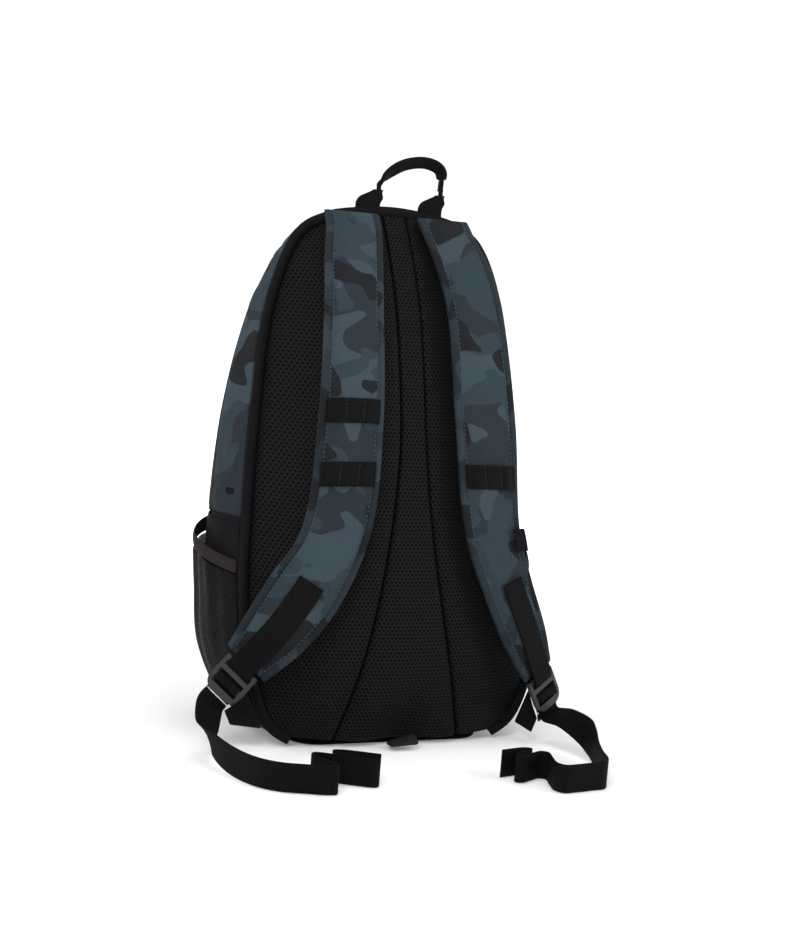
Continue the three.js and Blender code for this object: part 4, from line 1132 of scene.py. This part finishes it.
def strap_webbing(side, sign):
    lock = LOCKS[side]
    start = strap_at_height(side, 0.154)
    v = np.linspace(start, 0.985, 14)
    centre, _, normal, down = strap_frame(side, np.full(v.shape, 0.5), v)
    lift = strap_thickness(v) / 2 + SEAM + WEBBING_THICKNESS / 2 + 0.6 * MM
    points = list(centre + normal * lift[:, None])
    sides = [unit(np.cross(d, n)) for d, n in zip(down, normal)]
    if np.dot(sides[0], lock.across) < 0:
        sides = [-s for s in sides]
    radius = math.hypot(LOCK_BAR, 4.0) / 2 + 1.2 + 0.8
    for degrees in (90, 60, 30, 0, -30, -60, -90):
        angle = math.radians(degrees)
        points.append(lock.at(BAR_PLACE + radius * math.cos(angle), radius * math.sin(angle)))
        sides.append(lock.across)
    points.append(lock.at(BAR_PLACE - 9, -radius))
    sides.append(lock.across)
    centres, sides = even(mirrored(points, sign), mirrored(sides, sign))
    obj = ribbon("strap_web_" + side, centres, sides, WEBBING_WIDTH, WEBBING_THICKNESS, WEB)
    keep(obj, "strap_" + side, ["strap_webbing_" + side])
    path = [lock.at(*p) for p in (
        (18, -6), (CROSSBAR + 4.5, -5.9), (CROSSBAR - 5.5, -4.4), (CROSSBAR - 4.5, 0),
        (CROSSBAR - 2.9, 3.3), (CROSSBAR, 3.5), (CROSSBAR + 2.9, 3.3), (CROSSBAR + 4.5, 0),
        (CROSSBAR + 6.1, -3.1), (18, -3.3),
    )]
    centres, sides = even(mirrored(path, sign), mirrored([lock.across] * len(path), sign), 0.8 * MM)
    obj = ribbon("threaded_web_" + side, centres, sides, WEBBING_WIDTH, 1.28 * MM, WEB)
    keep(obj, "lock_" + side, ["threaded_webbing_" + side])


for side, sign in SIDES:
    strap_webbing(side, sign)
    show_solid("ladder_lock_" + side, PLASTIC, 0.9 * MM, 35)

# ---- label tab
def label_tab():
    place = strap_at_height("right", 0.192)
    here = strap_frame("right", np.array([0.9]), np.array([place]))
    centre, across, normal, down = (q[0] for q in here)
    centre = centre + normal * (6 + 0.8 + 0.7) * MM
    u, v = lattice(10, 18)
    x = (u - 0.5) * 13 * MM
    y = (v - 0.5) * 22 * MM
    fold = 0.6 * MM * np.sin(v * math.pi) + 0.5 * MM * smooth((u - 0.7) / 0.3)
    face = centre + across * x[..., None] + down * y[..., None] + normal * (fold + 0.5 * MM)[..., None]
    metres = np.stack([x, y], axis=-1)
    sewn("label", face, face - normal * 1.2 * MM, metres, BLACK, "strap_right", ["label_tab"])


label_tab()


# ---- corner anchors
for side, sign in SIDES:
    lock = LOCKS[side]
    stub_top = lock.at(20, -6.6)
    stub_end = stub_top + (lock.down * 7 - lock.out * 2) * MM
    at_wing = float(share_at_height(REAR, 0.034))
    wing_root = at(REAR, at_wing)
    wing_end = stub_end - lock.across * 19.5 * MM
    wing_base = wing_root + unit(wing_end - wing_root) * 4.7 * MM
    up = unit(at(REAR, at_wing + 0.005) - at(REAR, at_wing - 0.005))
    out = unit(np.cross(wing_end - wing_root, up))
    u, v = lattice(22, 14)
    height = mix(34, 14, u) * MM
    middle = wing_base + (wing_end - wing_base) * u[..., None]
    sag = 1.6 * MM * np.sin(u * math.pi) * np.sin(v * 2.4 * math.pi)
    face = middle + up * ((v - 0.5) * height)[..., None] + out * sag[..., None]
    from_edge = np.minimum(np.minimum(u, 1 - u), np.minimum(v, 1 - v))
    thick = 1.2 * MM * np.sqrt(np.clip(from_edge * 14, 0.12, 1))[..., None]
    front, rear = mirrored(face + out * thick, sign), mirrored(face - out * thick, sign)
    node = "anchor_wing_" + side
    sewn("wing_" + side, front, rear, arc_uv(face), BLACK, "pack", [node])
    route = [stub_top, (stub_top + stub_end) / 2 - lock.out * 0.4 * MM, stub_end]
    centres, sides = even(mirrored(route, sign), mirrored([lock.across] * 3, sign), 0.8 * MM)
    obj = ribbon("anchor_web_" + side, centres, sides, WEBBING_WIDTH, WEBBING_THICKNESS, WEB)
    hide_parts("anchor_webbing_" + side)
    list(centres[-1])
    list(centres[0])
    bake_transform(obj)

# ---- grab handle
TOP_SEAM = at(REAR, 1)
FOOT_BASE = TOP_SEAM[2] + TOP_CROWN + PIPING + SEAM
FOOT_HEIGHT = 14 * MM
NECK = FOOT_BASE + FOOT_HEIGHT
HANDLE_CENTRE = 16  # millimetres; a foot's top is 32 to either side of it
HANDLE_HALF = 32


def handle_foot(side, sign):
    rings, uv = [], []
    for share in np.linspace(-0.45, 1, 18):
        narrow = smooth((share - 0.35) / 0.65)
        width = mix(25, 10, narrow) * MM / 2
        thick = mix(2.6, 3.0, narrow) * MM / 2
        z = FOOT_BASE + FOOT_HEIGHT * share
        middle = (HANDLE_CENTRE - 10 + sign * HANDLE_HALF + 10 * max(0, share) ** 1.5) * MM
        ring = []
        for k in range(20):
            angle = 2 * math.pi * k / 20
            c, s = math.cos(angle), math.sin(angle)
            x = width * math.copysign(abs(c) ** 0.35, c)
            ripple = 1 + 0.12 * narrow * math.cos(angle * 6)
            y = thick * math.copysign(abs(s) ** 0.6, s) * ripple
            ring.append((middle + x, TOP_SEAM[1] + y, z))
        rings.append(ring)
        uv.append([(p[0], z) for p in ring])
    obj = tube_rings("handle_foot_web_" + side, rings, uv, WEB)
    keep(obj, "pack", ["handle_foot_" + side])


def handle_neck(side, x):
    """The pinched webbing between a foot and the grip."""
    y = TOP_SEAM[1]
    rings, uv = [], []
    for z in np.linspace(NECK - 0.5 * MM, NECK + 5.0 * MM, 16):
        angles = np.linspace(0, 2 * math.pi, 12, endpoint=False)
        rings.append([(x + 2.3 * MM * math.cos(a), y + 1.9 * MM * math.sin(a), z) for a in angles])
        uv.append([(2.3 * MM * a, z) for a in angles])
    obj = tube_rings("handle_neck_" + side, rings, uv, WEB)
    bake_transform(obj)


def grip():
    start, apex = NECK + 3.9 * MM, TOP_SEAM[2] + 49 * MM
    y = TOP_SEAM[1]
    places = np.array([
        (-0.0165, y, start), (-0.0095, y, mix(start, apex, 0.38)), (0.009, y, mix(start, apex, 0.86)),
        (0.032, y, apex), (0.046, y, mix(start, apex, 0.76)), (0.0475, y, start),
    ])
    table = through(places / MM, 200)
    share = np.linspace(0, 1, len(table))
    lean = smooth(np.minimum(share, 1 - share) / 0.35)
    forward = unit(np.gradient(table, axis=0))
    flat = np.array([0, 1.0, 0])
    radial = unit(np.cross(forward, flat))
    radial = np.where(radial[:, 2:3] < 0, -radial, radial)
    tilt = mix(0.15, 0.95, lean)[:, None]
    across = unit(flat * np.cos(tilt) - radial * np.sin(tilt))
    width = mix(4.4, 11.5, smooth(np.minimum(share, 1 - share) / 0.16)) * MM
    obj = ribbon("grip", table, across, width, 3.6 * MM, WEB)
    keep(obj, "handle", ["grab_handle"])


for side, sign in SIDES:
    handle_foot(side, sign)
    handle_neck(side, (HANDLE_CENTRE + sign * HANDLE_HALF) * MM)
grip()


# ---- bottom tab
def bottom_tab():
    rear = at(PAD_CENTRE, AT_BASE)[1] - SEAM
    u, v = lattice(16, 24)
    x = (u - 0.5) * 26 * MM
    angle = v * math.pi
    reach = 15 * MM
    y = rear - 1 * MM - reach * np.sin(angle) ** 0.8
    z = 3.0 * MM + 5.5 * MM * (1 - np.cos(angle)) / 2 * mix(0.5, 1.7, u) + 0.4 * MM
    face = np.stack([x, y, z], axis=-1)
    n = np.stack([np.zeros_like(x), -np.sin(angle), -np.cos(angle)], axis=-1)
    inner = face - n * 1.2 * MM
    sewn("bottom_tab_web", face, inner, arc_uv(face), BINDING, "pack", ["bottom_tab"])


bottom_tab()

# ---- CAD nodes that show as they are
show_solid("back_board", BOARD)
show_solid("inner_sleeve", BLACK)
for node in ("main_slider", "main_slider_pull", "pocket_slider", "pocket_slider_pull"):
    show_solid(node, METAL, 0.6 * MM)


# ---- studio
def studio():
    data = bpy.data.meshes.new("floor")
    size = 12
    corners = [(-size, -size, 0), (size, -size, 0), (size, size, 0), (-size, size, 0)]
    data.from_pydata(corners, [], [(0, 1, 2, 3)])
    floor = bpy.data.objects.new("floor", data)
    floor.location.z = -0.0002
    scene.collection.objects.link(floor)
    m = Nodes("floor_paint", 0.9, 0.1)
    grain = m.noise(m.place(), 3, 1)
    m.color(m.blend(grain, (0.86, 0.86, 0.86), (0.88, 0.88, 0.88)))
    # The floor glows with painted light: weak within a quarter metre of the middle, full from about a metre
    # out.
    m.shader.inputs["Emission Color"].default_value = (1, 1, 1, 1)
    away = m.ramp(m.vector("LENGTH", m.place()), 0.25, 1.1)
    m.link(m.math("MULTIPLY_ADD", away, 1.0, 0.16), m.shader.inputs["Emission Strength"])
    data.materials.append(m.material)
    world = bpy.data.worlds.new("studio")
    world.use_nodes = True
    nodes, links = world.node_tree.nodes, world.node_tree.links
    background = nodes["Background"]
    background.inputs[0].default_value = (1, 1, 1, 1)
    toward = nodes.new("ShaderNodeVectorMath")
    toward.operation = "DOT_PRODUCT"
    toward.inputs[1].default_value = (0, 0, 1)
    links.new(nodes.new("ShaderNodeTexCoord").outputs["Generated"], toward.inputs[0])
    wall = nodes.new("ShaderNodeMapRange")
    wall.interpolation_type = "SMOOTHSTEP"
    wall.inputs["From Min"].default_value = 0.22
    wall.inputs["From Max"].default_value = 0.45
    wall.inputs["To Min"].default_value = 1.05
    wall.inputs["To Max"].default_value = 0.25
    links.new(toward.outputs["Value"], wall.inputs["Value"])
    links.new(wall.outputs[0], background.inputs[1])
    scene.world = world
    for name, place, size, power in (
        ("key", (-1.5, -1.7, 1.9), 1.1, 34),
        ("fill", (1.9, -1.3, 1.2), 1.2, 22),
        ("top", (0.1, -0.2, 2.3), 1.4, 22),
        ("rim", (-1.6, 1.2, 1.4), 1.0, 16),
    ):
        light = bpy.data.lights.new(name, "AREA")
        light.size, light.energy = size, power
        lamp = bpy.data.objects.new(name, light)
        scene.collection.objects.link(lamp)
        lamp.location = place
        aim = Vector((0, 0, 0.25)) - Vector(place)
        lamp.rotation_euler = aim.to_track_quat("-Z", "Y").to_euler()


studio()
